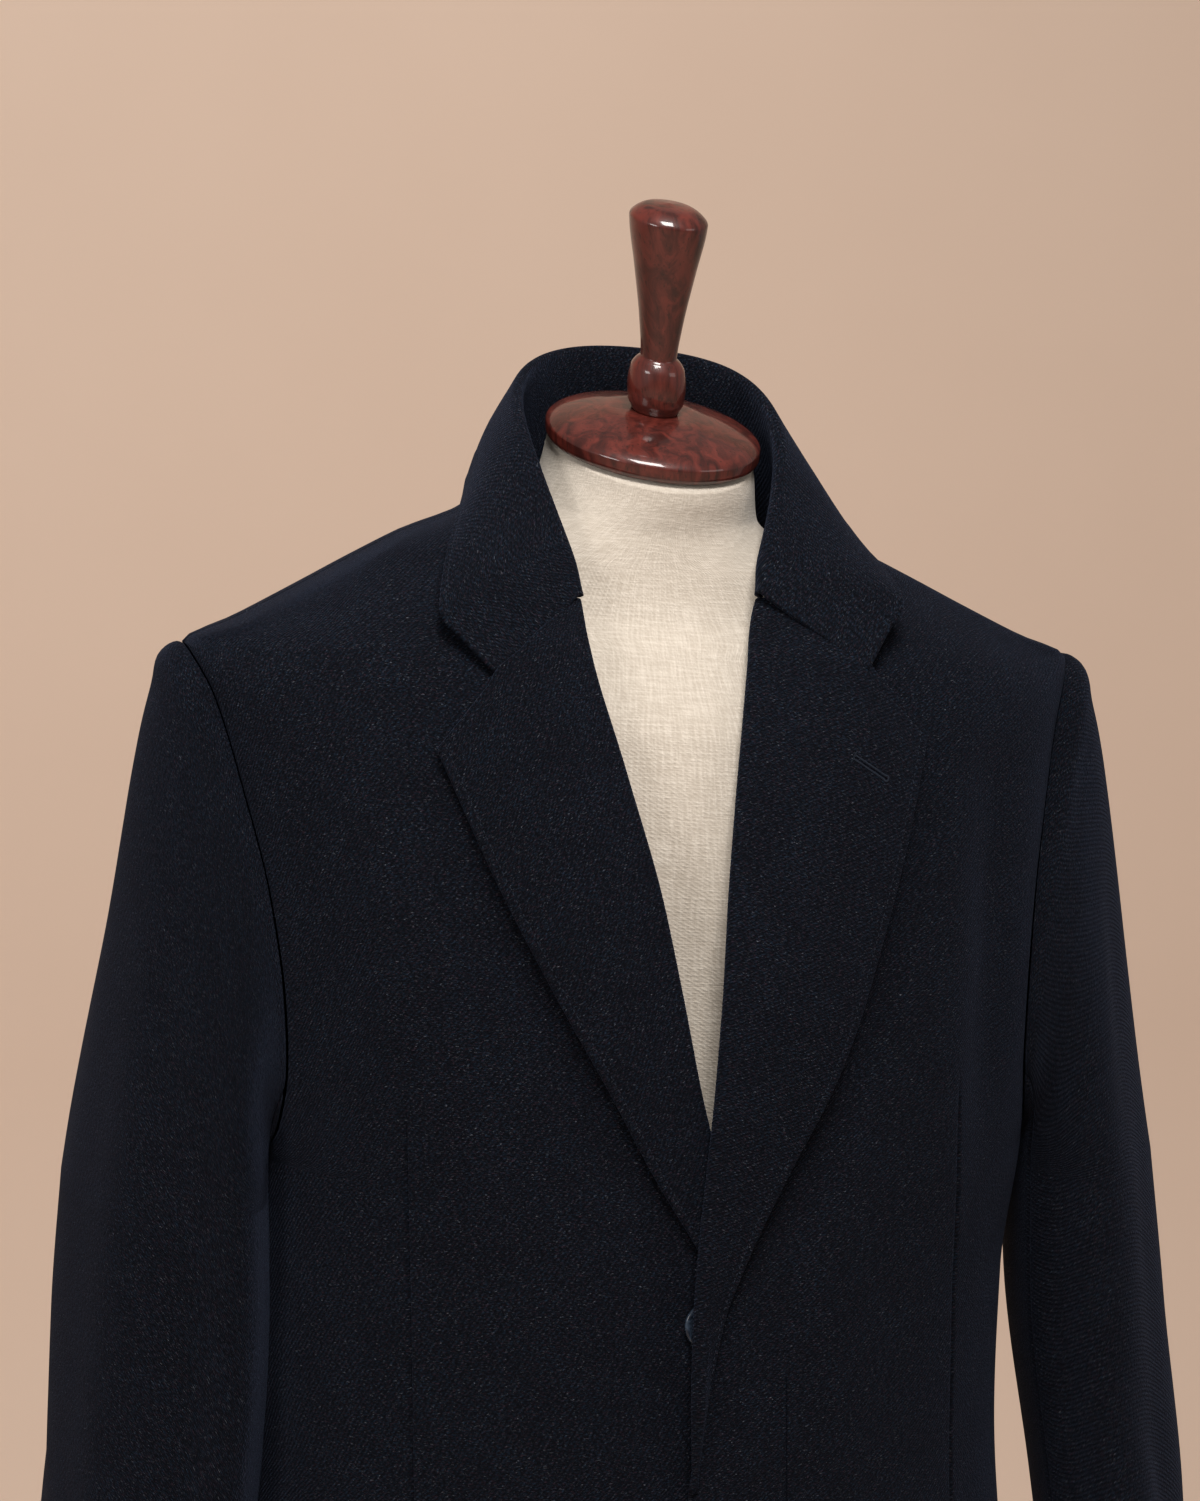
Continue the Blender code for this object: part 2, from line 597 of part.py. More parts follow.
def add_turned(name, rings, material):
    """Rings of points, closed at both ends with a flat face."""
    count, sides = rings.shape[:2]
    index = np.arange(count * sides).reshape(count, sides)
    after = np.roll(index, -1, 1)
    faces = np.stack([index[:-1], after[:-1], after[1:], index[1:]], -1).reshape(-1, 4).tolist()
    faces += [index[0, ::-1].tolist(), index[-1].tolist()]
    add_object(name, to_metres(lean(rings.reshape(-1, 3))), faces, material)


def turned_rings(profile, origin, tilt=0.0, side_lean=0.0):
    """Rings of a turned profile about an axis that may lean forward and sideways."""
    tilt, side_lean = np.radians(tilt), np.radians(side_lean)
    axis = unit(np.array([np.tan(side_lean), -np.tan(tilt), 1.0]))
    across = unit(np.cross([0, 1, 0], axis))
    along = np.cross(axis, across)
    turns = np.linspace(0, 2 * np.pi, TURNED_SIDES, endpoint=False)
    circle = np.outer(np.cos(turns), across) + np.outer(np.sin(turns), along)
    solid = [(height, radius) for height, radius in profile if radius > 0]
    return np.array([np.array(origin) + axis * height + circle * r for height, r in solid])


def form_section(name, height):
    value = read(FORM, FORM_COLUMNS, name, height)
    if name != "half_width":
        return value
    low, high = SHOULDER_REST
    rest = section("half_width", height) - REST_INSET
    carries = smooth(low - 0.6, low + 0.4, height) * (1 - smooth(high - 0.8, high, height))
    return value + (rest - value) * carries


def make_form(linen):
    """The form's body: smooth sections from the hip, over the shoulders, to the neck."""
    low = np.linspace(FORM[0][0], -4, 15)
    high = np.linspace(-4, 0.6, 5)[1:]
    roof = np.linspace(0.6, 6, 10)[1:]
    neck = np.linspace(6, FORM[-1][0], 5)[1:]
    heights = np.concatenate([low, high, roof, neck])
    turns = np.linspace(0, 2 * np.pi, FORM_SIDES, endpoint=False)
    angle, level = np.meshgrid(turns, heights)
    power = 2 / form_section("squareness", level)
    x = form_section("half_width", level) * np.sign(np.sin(angle)) * np.abs(np.sin(angle)) ** power
    depth = np.where(
        np.cos(angle) > 0, -form_section("front", level), form_section("back", level)
    )
    y = depth * np.abs(np.cos(angle)) ** power
    # the neck leans with its cap, and its top is cut square to the cap's axis
    neck_share = smooth(4.5, FORM[-1][0], level)
    x = x + CAP_CENTRE[0] * neck_share
    slope = np.tan(np.radians(CAP_TILT)) * (y - CAP_CENTRE[1])
    cut = slope - np.tan(np.radians(CAP_LEAN)) * (x - CAP_CENTRE[0])
    z = level + cut * neck_share**2 - 0.12 * neck_share
    add_turned("form_torso", np.stack([x, y, z], -1), linen)


def make_material(name, colour, roughness):
    material = bpy.data.materials.new(name)
    material.use_nodes = True
    shader = material.node_tree.nodes["Principled BSDF"]
    shader.inputs["Base Color"].default_value = colour
    shader.inputs["Roughness"].default_value = roughness
    shader.inputs["Metallic"].default_value = 0.0
    material.diffuse_color = colour
    return material


def main():
    for obj in list(bpy.data.objects):
        bpy.data.objects.remove(obj, do_unlink=True)
    cloth = make_material("navy_wool", NAVY, 0.9)
    horn = make_material("dark_horn", HORN, 0.25)
    linen = make_material("linen", LINEN, 0.85)
    wood = make_material("mahogany", MAHOGANY, 0.2)
    for side in ("left", "right"):
        make_front(side, cloth)
        make_lapel(side, cloth)
        make_back(side, cloth)
        make_sleeve(side, "top", cloth)
        make_sleeve(side, "under", cloth)
    make_collar(cloth)
    make_button(horn)
    make_form(linen)
    add_turned("neck_cap", turned_rings(CAP_PROFILE, CAP_CENTRE, CAP_TILT, CAP_LEAN), wood)
    add_turned("finial", turned_rings(FINIAL_PROFILE, CAP_CENTRE, CAP_TILT, CAP_LEAN), wood)
    floor = (0.0, 0.0, -SHOULDER_HEIGHT / CM)
    add_turned("pole", turned_rings(POLE_PROFILE, floor), wood)
    add_turned("base", turned_rings(BASE_PROFILE, floor), wood)


main()
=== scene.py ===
# %% [markdown]
# # A wool overcoat on a dress form
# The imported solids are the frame: they fix where every piece is and how big it is. This notebook
# dresses that frame. Each cell makes one piece or one finish, in the order a tailor would think
# of them: the coat's own surface first, then the panels cut from it, then lapels, collar and
# sleeves, then stitching, then the form underneath, and last the light.

# %% Load the frame
import json

import bpy
import numpy as np
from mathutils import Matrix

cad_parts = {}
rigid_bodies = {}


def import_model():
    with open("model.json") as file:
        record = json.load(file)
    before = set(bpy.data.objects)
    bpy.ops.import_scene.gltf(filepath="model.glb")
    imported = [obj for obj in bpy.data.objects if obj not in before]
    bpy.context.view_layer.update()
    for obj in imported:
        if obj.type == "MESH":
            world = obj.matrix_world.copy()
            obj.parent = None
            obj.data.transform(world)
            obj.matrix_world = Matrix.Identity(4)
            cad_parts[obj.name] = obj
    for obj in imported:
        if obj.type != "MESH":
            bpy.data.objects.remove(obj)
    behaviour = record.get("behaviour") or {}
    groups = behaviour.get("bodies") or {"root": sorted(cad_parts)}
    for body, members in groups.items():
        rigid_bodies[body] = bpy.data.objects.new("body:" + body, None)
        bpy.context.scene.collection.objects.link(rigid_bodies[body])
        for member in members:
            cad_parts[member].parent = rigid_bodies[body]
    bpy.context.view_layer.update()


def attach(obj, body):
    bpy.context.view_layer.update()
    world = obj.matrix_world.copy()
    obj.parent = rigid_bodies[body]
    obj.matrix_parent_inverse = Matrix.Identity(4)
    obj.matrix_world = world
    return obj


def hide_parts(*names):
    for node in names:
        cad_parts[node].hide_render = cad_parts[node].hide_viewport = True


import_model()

# %% [markdown]
# ## Sizes
# A tailor works in centimetres from the shoulder point, so the tables do too: `CM` and
# `SHOULDER_HEIGHT` bring them to metres above the floor. The coat faces -Y and its wearer's left is
# +X. A table is a row of column names and a few rows of sizes, and `read` gives any column at any
# height by a monotone cubic, which never overshoots between two rows.

# %% Tables and how to read them
CM = 0.01
SHOULDER_HEIGHT = 1.42
HEM, UNDERARM, NECK_POINT, NAPE_RISE = -96.0, -25.0, 7.0, 2.6
WALL = 0.25  # cloth with its canvas and lining


def table(names, rows):
    """Columns by name, from a line of names and rows of sizes."""
    return dict(zip(names.split(), np.array(rows, float).T))


def read(source, name, at, key="height"):
    """Monotone cubic (harmonic-mean slopes) through one column of a table."""
    x, y = source[key], source[name]
    step = np.diff(y) / np.diff(x)
    slope = np.concatenate([step[:1], np.zeros(len(step) - 1), step[-1:]])
    same = np.flatnonzero(step[:-1] * step[1:] > 0)
    slope[same + 1] = 2 / (1 / step[same] + 1 / step[same + 1])
    at = np.clip(np.asarray(at, float), x[0], x[-1])
    k = np.clip(np.searchsorted(x, at) - 1, 0, len(x) - 2)
    width = x[k + 1] - x[k]
    t = (at - x[k]) / width
    ends = (1 + 2 * t) * (1 - t) ** 2 * y[k] + t**2 * (3 - 2 * t) * y[k + 1]
    bends = t * (1 - t) ** 2 * slope[k] + t**2 * (t - 1) * slope[k + 1]
    return ends + width * bends


def smooth(low, high, value):
    """0 below low, 1 above high, and a soft step (3t^2 - 2t^3) between."""
    t = np.clip((np.asarray(value, float) - low) / (high - low), 0, 1)
    return t * t * (3 - 2 * t)


def unit(vectors):
    """Vectors over their own lengths."""
    return vectors / np.maximum(np.linalg.norm(vectors, axis=-1, keepdims=True), 1e-12)


SECTIONS = table(
    "height half_width front back squareness hollow centre",
    [
        (-96.0, 24.0, 16.0, 16.5, 2.25, 0.0, -0.9),
        (-80.0, 22.8, 15.4, 15.6, 2.30, 0.0, -0.9),
        (-64.0, 21.6, 14.7, 14.6, 2.35, 0.0, -0.9),
        (-50.0, 20.5, 14.1, 13.4, 2.40, 0.0, -0.9),
        (-40.0, 19.9, 13.7, 12.6, 2.40, 0.0, -0.9),
        (-32.0, 19.9, 13.5, 12.5, 2.40, 0.0, -0.6),
        (-25.0, 20.3, 13.3, 12.7, 2.40, 0.0, 0.0),
        (-17.0, 21.0, 12.9, 12.8, 2.40, 0.2, 0.0),
        (-10.0, 21.5, 12.3, 12.2, 2.35, 0.8, 0.0),
        (-4.5, 22.2, 11.4, 11.0, 2.25, 1.7, 0.0),
        (0.0, 23.1, 9.9, 9.6, 2.10, 2.5, 0.0),
        (1.2, 20.5, 9.3, 9.2, 2.10, 2.8, 0.0),
        (2.8, 17.3, 8.6, 8.8, 2.10, 3.0, 0.0),
        (4.2, 14.6, 8.0, 8.4, 2.10, 3.0, 0.0),
        (5.4, 12.2, 7.3, 8.0, 2.10, 3.0, 0.0),
        (7.0, 8.6, 6.4, 7.4, 2.10, 3.0, 0.0),
        (10.0, 8.0, 6.0, 6.6, 2.10, 3.0, 0.0),
    ],
)
HOLLOW_REACH = 10.0
print("coat sections:", len(SECTIONS["height"]))

# %% [markdown]
# ## The coat's surface
# A hanging coat is close to a tube whose cross-section is a rounded box: a superellipse. The
# function below gives a point of the outer cloth for an angle round the body and a height. All
# panels are cut from this one surface, so they meet at their seams wherever those run.


# %% The coat's surface as a function of angle and height
def section(name, height):
    """One column of the coat's sections at any height."""
    return read(SECTIONS, name, height)


def coat_surface(angle, height):
    """x = a sin^(2/n), y = -b cos^(2/n), with a, b and n read from the sections. The front sinks
    towards the neck by hollow * (1 - (x / reach)^2)^2. Angle 0 is the centre front and a quarter
    turn is the left side seam."""
    angle, height = np.broadcast_arrays(np.asarray(angle, float), np.asarray(height, float))
    power = 2 / section("squareness", height)
    across, along = np.sin(angle), np.cos(angle)
    x = section("half_width", height) * np.sign(across) * np.abs(across) ** power
    depth = np.where(along > 0, -section("front", height), section("back", height))
    y = depth * np.abs(along) ** power
    near = np.clip(1 - (x / HOLLOW_REACH) ** 2, 0, 1) ** 2
    sunk = section("hollow", height) * near * np.abs(along) ** power
    return np.stack([x + section("centre", height), y + np.where(along > 0, sunk, 0), height], -1)


def surface_normal(surface, u, v, step=1e-3):
    """Outward normal: the cross product of the surface's two differences."""
    along_u = surface(u + step, v) - surface(u - step, v)
    along_v = surface(u, v + step) - surface(u, v - step)
    return unit(np.cross(along_u, along_v))


def angle_of(x, height):
    """The front angle at which the surface has this x: the superellipse solved for its angle."""
    off = x - section("centre", height)
    ratio = np.clip(np.abs(off) / section("half_width", height), 0, 1)
    return np.sign(off) * np.arcsin(ratio ** (section("squareness", height) / 2))


hem_girth = np.linalg.norm(np.diff(coat_surface(np.linspace(0, 2 * np.pi, 400), HEM), axis=0), axis=1)
print("girth at the hem:", round(hem_girth.sum(), 1), "cm")

# %% [markdown]
# ## Where the cloth ends
# The armhole, the roll line of each lapel and each lapel's outer edge are lines on that surface, as
# distances from the centre front at a height. A distance is measured towards the panel's own side,
# so the two fronts, which cross at the centre, have small negative ones below the break.

# %% Armhole, roll line and lapel edge
SIGN = {"left": 1, "right": -1}
ARMHOLE = table(
    "height front back",
    [
        (-25.0, 20.30, 20.30),
        (-24.5, 19.90, 19.85),
        (-23.0, 19.40, 19.40),
        (-20.0, 19.10, 18.95),
        (-17.0, 19.20, 18.85),
        (-12.0, 19.75, 19.25),
        (-7.0, 20.80, 20.40),
        (-2.4, 22.00, 21.90),
        (0.0, 23.10, 23.10),
    ],
)
FOLD = table(
    "height left right",
    [
        (-96.0, -0.6, -5.6),
        (-40.0, -0.8, -5.5),
        (-36.0, -0.8, -4.0),
        (-32.0, -0.7, -2.7),
        (-28.0, -0.4, -1.7),
        (-24.5, 0.0, -1.0),
        (-20.5, 0.5, -0.1),
        (-16.0, 1.0, 0.7),
        (-11.0, 1.6, 1.7),
        (-5.5, 2.5, 3.1),
        (0.0, 3.7, 4.4),
        (2.5, 4.4, 4.6),
        (5.4, 6.2, 6.2),
        (7.0, 7.7, 7.7),
    ],
)
LAPEL_EDGE = table(
    "height left right",
    [
        (-40.5, -0.6, -5.4),
        (-35.0, 0.15, -3.2),
        (-31.2, 0.9, -1.4),
        (-28.4, 2.0, 0.0),
        (-24.4, 4.0, 2.4),
        (-20.3, 6.3, 4.6),
        (-15.8, 8.3, 7.1),
        (-10.8, 10.0, 9.6),
        (-2.8, 12.3, 12.9),
    ],
)
LAPEL = {
    "left": {"foot": -40.0, "gorge": 2.8, "corner": -2.9},
    "right": {"foot": -30.6, "gorge": 2.1, "corner": -4.5},
}
FOLD_RADIUS = {"left": 0.34, "right": 0.20}
FOLD_RADIUS_TOP = 0.32
OVERLAP_LIFT, OVERLAP_PUSH, OVERLAP_REACH = 0.42, 0.34, 6.5


def fold_radius(side, height):
    """Radius of the roll: tight at its foot, soft above, and one size at the gorge."""
    foot = LAPEL[side]["foot"]
    radius = FOLD_RADIUS[side] + (FOLD_RADIUS_TOP - FOLD_RADIUS[side]) * smooth(-16, 0, height)
    return radius * (0.35 + 0.65 * smooth(foot, foot + 5, height))


def hem_x(side, height):
    """Where the front's outer face turns into the roll."""
    turned = smooth(LAPEL[side]["foot"] - 0.6, LAPEL[side]["foot"] + 1.2, height)
    return read(FOLD, side, height) + turned * (fold_radius(side, height) + WALL / 2)


def front_lift(side, x, height):
    """The left front rides over the right one near the centre, and the right one sinks."""
    if side == "left":
        near = 1 - smooth(OVERLAP_REACH, OVERLAP_REACH + 3, x)
        return near * OVERLAP_LIFT * smooth(-56, -44, height) * (1 - smooth(-17, -8, height))
    return -(1 - smooth(1.5, 4.5, x)) * OVERLAP_PUSH * (1 - smooth(-17, -10, height))


print("lapel width at its corner:", round(float(LAPEL_EDGE["left"][-1] - FOLD["left"][-5]), 1), "cm")

# %% [markdown]
# ## Soft creases
# Heavy wool has no sharp wrinkles. It hangs in long shallow troughs and ridges: a drag under the
# shoulder point, a hollow in front of the armhole, slow swags where a sleeve bends, flutes that
# open towards the hem. Each one is a line across the cloth with a width and a depth. The distance
# from that line goes through a bell curve, and the crease fades out at both of its ends.


# %% Creases as short tables
def creases(source, u, v):
    """Sum over rows of depth * exp(-(d / width)^2) * fade, where d is the distance from the row's
    line and fade is 0 at its ends and 1 in its middle."""
    total = np.zeros(np.broadcast(u, v).shape)
    for u0, v0, u1, v1, width, depth in zip(*(source[k] for k in "u0 v0 u1 v1 width depth".split())):
        length = np.hypot(u1 - u0, v1 - v0)
        along = ((u - u0) * (u1 - u0) + (v - v0) * (v1 - v0)) / length
        off = ((u - u0) * (v1 - v0) - (v - v0) * (u1 - u0)) / length
        fade = smooth(-0.25, 0.35, along / length) * (1 - smooth(0.65, 1.25, along / length))
        total += depth * np.exp(-((off / width) ** 2)) * fade
    return total


CREASE_COLUMNS = "u0 v0 u1 v1 width depth"
FRONT_CREASES = {
    "left": table(
        CREASE_COLUMNS,
        [
            (16.8, -4.0, 15.8, -25.0, 1.7, -0.60),
            (13.6, -8.0, 12.8, -27.0, 2.0, 0.22),
            (11.8, -5.0, 3.2, -30.0, 2.0, -0.62),
            (17.5, -24.0, 14.5, -48.0, 2.4, -0.16),
            (9.0, -26.0, 9.5, -60.0, 3.0, 0.16),
            (13.0, -50.0, 15.0, -96.0, 3.0, 0.45),
            (6.0, -56.0, 7.0, -96.0, 2.6, -0.35),
            (19.0, -56.0, 21.0, -96.0, 2.4, -0.45),
        ],
    ),
    "right": table(
        CREASE_COLUMNS,
        [
            (17.6, -5.0, 16.8, -22.0, 1.6, -0.30),
            (16.2, -8.0, 8.6, -32.0, 3.0, 0.42),
            (12.0, -7.0, 2.4, -29.0, 2.2, -0.66),
            (18.0, -26.0, 16.0, -50.0, 2.2, -0.18),
            (8.0, -30.0, 10.0, -62.0, 3.0, 0.18),
            (11.0, -52.0, 13.5, -96.0, 2.8, 0.42),
            (3.5, -58.0, 4.5, -96.0, 2.6, -0.30),
            (18.0, -58.0, 19.5, -96.0, 2.6, -0.45),
        ],
    ),
}
BACK_CREASES = {
    "left": table(
        CREASE_COLUMNS,
        [
            (16.0, -4.0, 13.5, -22.0, 2.0, -0.25),
            (13.0, -8.0, 12.0, -30.0, 2.2, 0.16),
            (4.0, 0.5, 9.0, -9.0, 2.6, -0.12),
            (8.0, -34.0, 8.5, -96.0, 3.2, 0.45),
            (15.0, -36.0, 16.5, -96.0, 2.8, -0.50),
            (3.0, -58.0, 3.5, -96.0, 2.2, -0.30),
        ],
    ),
    "right": table(
        CREASE_COLUMNS,
        [
            (15.5, -5.0, 14.5, -24.0, 1.9, -0.28),
            (12.0, -9.0, 12.5, -32.0, 2.2, 0.18),
            (4.5, 0.0, 8.0, -10.0, 2.4, -0.12),
            (9.0, -38.0, 10.0, -96.0, 3.0, 0.48),
            (16.5, -40.0, 17.0, -96.0, 2.6, -0.50),
            (4.0, -62.0, 4.8, -96.0, 2.4, -0.32),
        ],
    ),
}
print("creases by hand:", sum(len(t["u0"]) for t in [*FRONT_CREASES.values(), *BACK_CREASES.values()]))

# %% [markdown]
# ## From a grid to cloth
# Every panel is two grids of points, the outer face and the inner one, joined round their rim by
# a third line that stands a little proud, so that the cut edge looks folded and not sawn. The UV map
# holds centimetres along the cloth, which lets the weave run true to the panel's own grain. The
# whole figure hangs a little lower on its left, and `lean` puts that in at the very end.

# %% Turning two grids into one closed, thin shell
LEAN_DROP, LEAN_REACH, LEAN_BOTTOM, LEAN_TOP = 0.8, 8.0, -45.0, -5.0


def lean(points):
    """z falls by drop * tanh(x / reach), fading in with height."""
    points = np.array(points, float)
    ramp = smooth(LEAN_BOTTOM, LEAN_TOP, points[..., 2])
    points[..., 2] -= LEAN_DROP * np.tanh(points[..., 0] / LEAN_REACH) * ramp
    return points


def to_metres(points):
    """Centimetres from the shoulder point to metres above the floor."""
    return lean(points) * CM + (0, 0, SHOULDER_HEIGHT)


def add_mesh(name, points, faces, material, uv=None):
    """One object from whole arrays. Its UV map takes each corner's value from its point."""
    mesh = bpy.data.meshes.new(name)
    points, faces = np.asarray(points, float), np.asarray(faces)
    corners = points[faces[:, :3]]
    volume = np.einsum("ij,ij->i", corners[:, 0], np.cross(corners[:, 1], corners[:, 2])).sum()
    if faces.shape[1] == 4:
        other = points[faces[:, [0, 2, 3]]]
        volume += np.einsum("ij,ij->i", other[:, 0], np.cross(other[:, 1], other[:, 2])).sum()
    if volume < 0:
        faces = faces[:, ::-1]
    mesh.from_pydata(points.tolist(), [], faces.tolist())
    if uv is not None:
        layer = mesh.uv_layers.new(name="cloth")
        layer.data.foreach_set("uv", np.asarray(uv)[faces.reshape(-1)].reshape(-1))
    mesh.materials.append(material)
    mesh.shade_smooth()
    obj = bpy.data.objects.new(name, mesh)
    bpy.context.scene.collection.objects.link(obj)
    return obj


def grid_normals(grid):
    """Cross product of a grid's two gradients."""
    return unit(np.cross(np.gradient(grid, axis=1), np.gradient(grid, axis=0)))


def arc(points, axis):
    """Running length along one axis of a grid of points."""
    step = np.linalg.norm(np.diff(points, axis=axis), axis=-1)
    return np.concatenate([np.zeros_like(np.take(step, [0], axis)), np.cumsum(step, axis)], axis)


def cloth_shell(name, outer, inner, uv, rims, material):
    """Outer and inner grids, and a rim that stands proud by rims = (first row, last row, first
    column, last column) centimetres."""
    rows, columns = outer.shape[:2]
    middle = (outer + inner) / 2
    out = np.zeros_like(middle)
    out[0] += unit(middle[0] - middle[1]) * rims[0]
    out[-1] += unit(middle[-1] - middle[-2]) * rims[1]
    out[:, 0] += unit(middle[:, 0] - middle[:, 1]) * rims[2]
    out[:, -1] += unit(middle[:, -1] - middle[:, -2]) * rims[3]
    index = np.arange(rows * columns).reshape(rows, columns)
    loop = np.concatenate([index[0, :-1], index[:-1, -1], index[-1, :0:-1], index[:0:-1, 0]])
    rim = (middle + out).reshape(-1, 3)[loop]
    count = rows * columns
    ring = 2 * count + np.arange(len(loop))
    after, ring_after = np.roll(loop, -1), np.roll(ring, -1)
    a, b, c, d = index[:-1, :-1], index[:-1, 1:], index[1:, 1:], index[1:, :-1]
    face = np.stack([a, b, c, d], -1).reshape(-1, 4)
    faces = np.concatenate(
        [
            face,
            face[:, ::-1] + count,
            np.stack([after, loop, ring, ring_after], -1),
            np.stack([ring_after, ring, loop + count, after + count], -1),
        ]
    )
    points = np.concatenate([outer.reshape(-1, 3), inner.reshape(-1, 3), rim])
    flat = uv.reshape(-1, 2) * CM
    return add_mesh(name, to_metres(points), faces, material, np.concatenate([flat, flat, flat[loop]]))


def cloth_uv(grid, across_from=0, up_from=0):
    """UV in centimetres: running length across each row and up each column."""
    across, up = arc(grid, 1), arc(grid, 0)
    middle = grid.shape[1] // 2
    u = across - across[:, across_from][:, None]
    v = up - up[up_from][None]
    return np.stack([u, 0.5 * v + 0.5 * v[:, [middle]]], -1)


CUT = {}


def note_cut(name, pattern):
    """The size a piece is cut to, in metres, from a grid of it: its widest row, its longest column,
    and its area by the cross product of each cell's two diagonals. Fronts, backs and sleeves give
    their outer face before creases. Lapels and the collar give the middle of their shaped cloth."""
    width, length = arc(pattern, 1)[:, -1].max() * CM, arc(pattern, 0)[-1].max() * CM
    one = pattern[1:, 1:] - pattern[:-1, :-1]
    other = pattern[1:, :-1] - pattern[:-1, 1:]
    area = np.linalg.norm(np.cross(one, other), axis=-1).sum() / 2 * CM**2
    CUT[name] = (float(width), float(length), float(area))


print("helpers ready")

# %% [markdown]
# ## Node groups for the finishes
# Three effects are used by more than one material, so each is a node group with named sockets. The
# *twill* group turns the UV map into slanted ribs of yarn with a fuzzy surface: a sine across the
# diagonal, broken up by noise that is drawn out along the yarn. The *heather* group speckles
# a colour with fibres of other shades, as in wool that is dyed before it is spun. The *grain*
# group stretches noise along an axis for lacquered wood.


# %% Small helpers for node groups
def new_group(name, inputs, outputs):
    """A shader node group with float, colour or vector sockets."""
    kinds = {"f": "NodeSocketFloat", "c": "NodeSocketColor", "v": "NodeSocketVector"}
    group = bpy.data.node_groups.new(name, "ShaderNodeTree")
    for socket, kind, value in inputs:
        made = group.interface.new_socket(socket, in_out="INPUT", socket_type=kinds[kind])
        if value is not None:
            made.default_value = value
    for socket, kind in outputs:
        group.interface.new_socket(socket, in_out="OUTPUT", socket_type=kinds[kind])
    return group, group.nodes.new("NodeGroupInput"), group.nodes.new("NodeGroupOutput")


def link(tree, source, target):
    """Join an output socket to an input socket."""
    tree.links.new(source, target)


def feed(tree, socket, value):
    """Link a socket to another one, or set it to a number or colour."""
    if isinstance(value, bpy.types.NodeSocket):
        link(tree, value, socket)
    else:
        socket.default_value = value


def add_node(tree, kind, settings=None, **values):
    """A node with its settings, then its sockets: a number or colour is set, a socket is linked.
    A socket is named by its label, with _ for a space, or by in0, in1 and so on."""
    node = tree.nodes.new(kind)
    for key, value in (settings or {}).items():
        setattr(node, key, value)
    for key, value in values.items():
        by_number = key[:2] == "in" and key[2:].isdigit()
        feed(tree, node.inputs[int(key[2:]) if by_number else key.replace("_", " ")], value)
    return node


def maths(tree, operation, a, b=0.0, clamp=False):
    """One arithmetic node, and its output."""
    node = add_node(tree, "ShaderNodeMath", {"operation": operation, "use_clamp": clamp}, in0=a, in1=b)
    return node.outputs[0]


def plus(tree, a, b):
    """a + b."""
    return maths(tree, "ADD", a, b)


def times(tree, a, b):
    """a * b."""
    return maths(tree, "MULTIPLY", a, b)


def noise(tree, vector, scale, detail=2.0, roughness=0.5, distortion=0.0):
    """A noise texture's value."""
    made = add_node(tree, "ShaderNodeTexNoise", Vector=vector, Scale=scale, Detail=detail)
    made.inputs["Roughness"].default_value = roughness
    made.inputs["Distortion"].default_value = distortion
    return made.outputs["Fac"]


def ramp(tree, value, low, high):
    """0 at low and 1 at high."""
    soft = {"interpolation_type": "SMOOTHSTEP"}
    return add_node(tree, "ShaderNodeMapRange", soft, Value=value, From_Min=low, From_Max=high).outputs[0]


def mix(tree, share, a, b):
    """Colour a turning into colour b. The node's colour sockets are its inputs 6 and 7."""
    return add_node(tree, "ShaderNodeMix", {"data_type": "RGBA"}, in0=share, in6=a, in7=b).outputs[2]


def mapping(tree, vector, scale, turn=0.0):
    """Coordinates stretched by scale and turned in their own plane."""
    node = add_node(tree, "ShaderNodeMapping", Vector=vector, Scale=scale)
    node.inputs["Rotation"].default_value = (0, 0, turn)
    return node.outputs[0]


def add_bump(tree, shader, height, strength, distance, invert=False):
    """A bump from a height, into the shader's Normal."""
    node = add_node(tree, "ShaderNodeBump", {"invert": invert}, Strength=strength, Height=height)
    node.inputs["Distance"].default_value = distance
    link(tree, node.outputs[0], shader.inputs["Normal"])


def object_place(tree):
    """The piece's own Object coordinates."""
    return add_node(tree, "ShaderNodeTexCoord").outputs["Object"]


def cloth_place(tree):
    """The piece's own UV map, in metres along the cloth."""
    return add_node(tree, "ShaderNodeUVMap", {"uv_map": "cloth"}).outputs[0]


print("node helpers ready")

# %% [markdown]
# ## The twill weave
# In twill each yarn floats over two or three others, one step further on in every row, and so the
# floats line up as slanted ribs. A picture of cloth could give that, but a sine of the slanted
# distance stays sharp at any closeness. Noise bends it and breaks it up, as a soft nap does.

# %% The twill group: slanted ribs of yarn, in UV metres
twill, enter, leave = new_group(
    "twill_weave",
    [("UV", "v", None), ("Pitch", "f", 0.0016), ("Slope", "f", 1.0), ("Fuzz", "f", 0.5)],
    [("Height", "f"), ("Rib", "f")],
)
TURN, WANDER = 6.28318, 0.0011
place = enter.outputs["UV"]
parts = add_node(twill, "ShaderNodeSeparateXYZ", Vector=place)
wander = times(twill, maths(twill, "SUBTRACT", noise(twill, place, 220.0), 0.5), WANDER)
slanted = plus(twill, times(twill, parts.outputs[0], enter.outputs["Slope"]), parts.outputs[1])
phase = maths(twill, "DIVIDE", plus(twill, slanted, wander), enter.outputs["Pitch"])
wave = maths(twill, "SINE", times(twill, phase, TURN))
rib = plus(twill, times(twill, wave, 0.5), 0.5)
fuzz = noise(twill, place, 1500.0, 3.0, 0.65)
broken = ramp(twill, noise(twill, place, 520.0, 2.0, 0.6), 0.30, 0.70)
soft_rib = times(twill, rib, broken)
both = plus(twill, times(twill, soft_rib, 0.6), times(twill, fuzz, enter.outputs["Fuzz"]))
link(twill, both, leave.inputs["Height"])
link(twill, soft_rib, leave.inputs["Rib"])
print("twill group:", len(twill.nodes), "nodes")

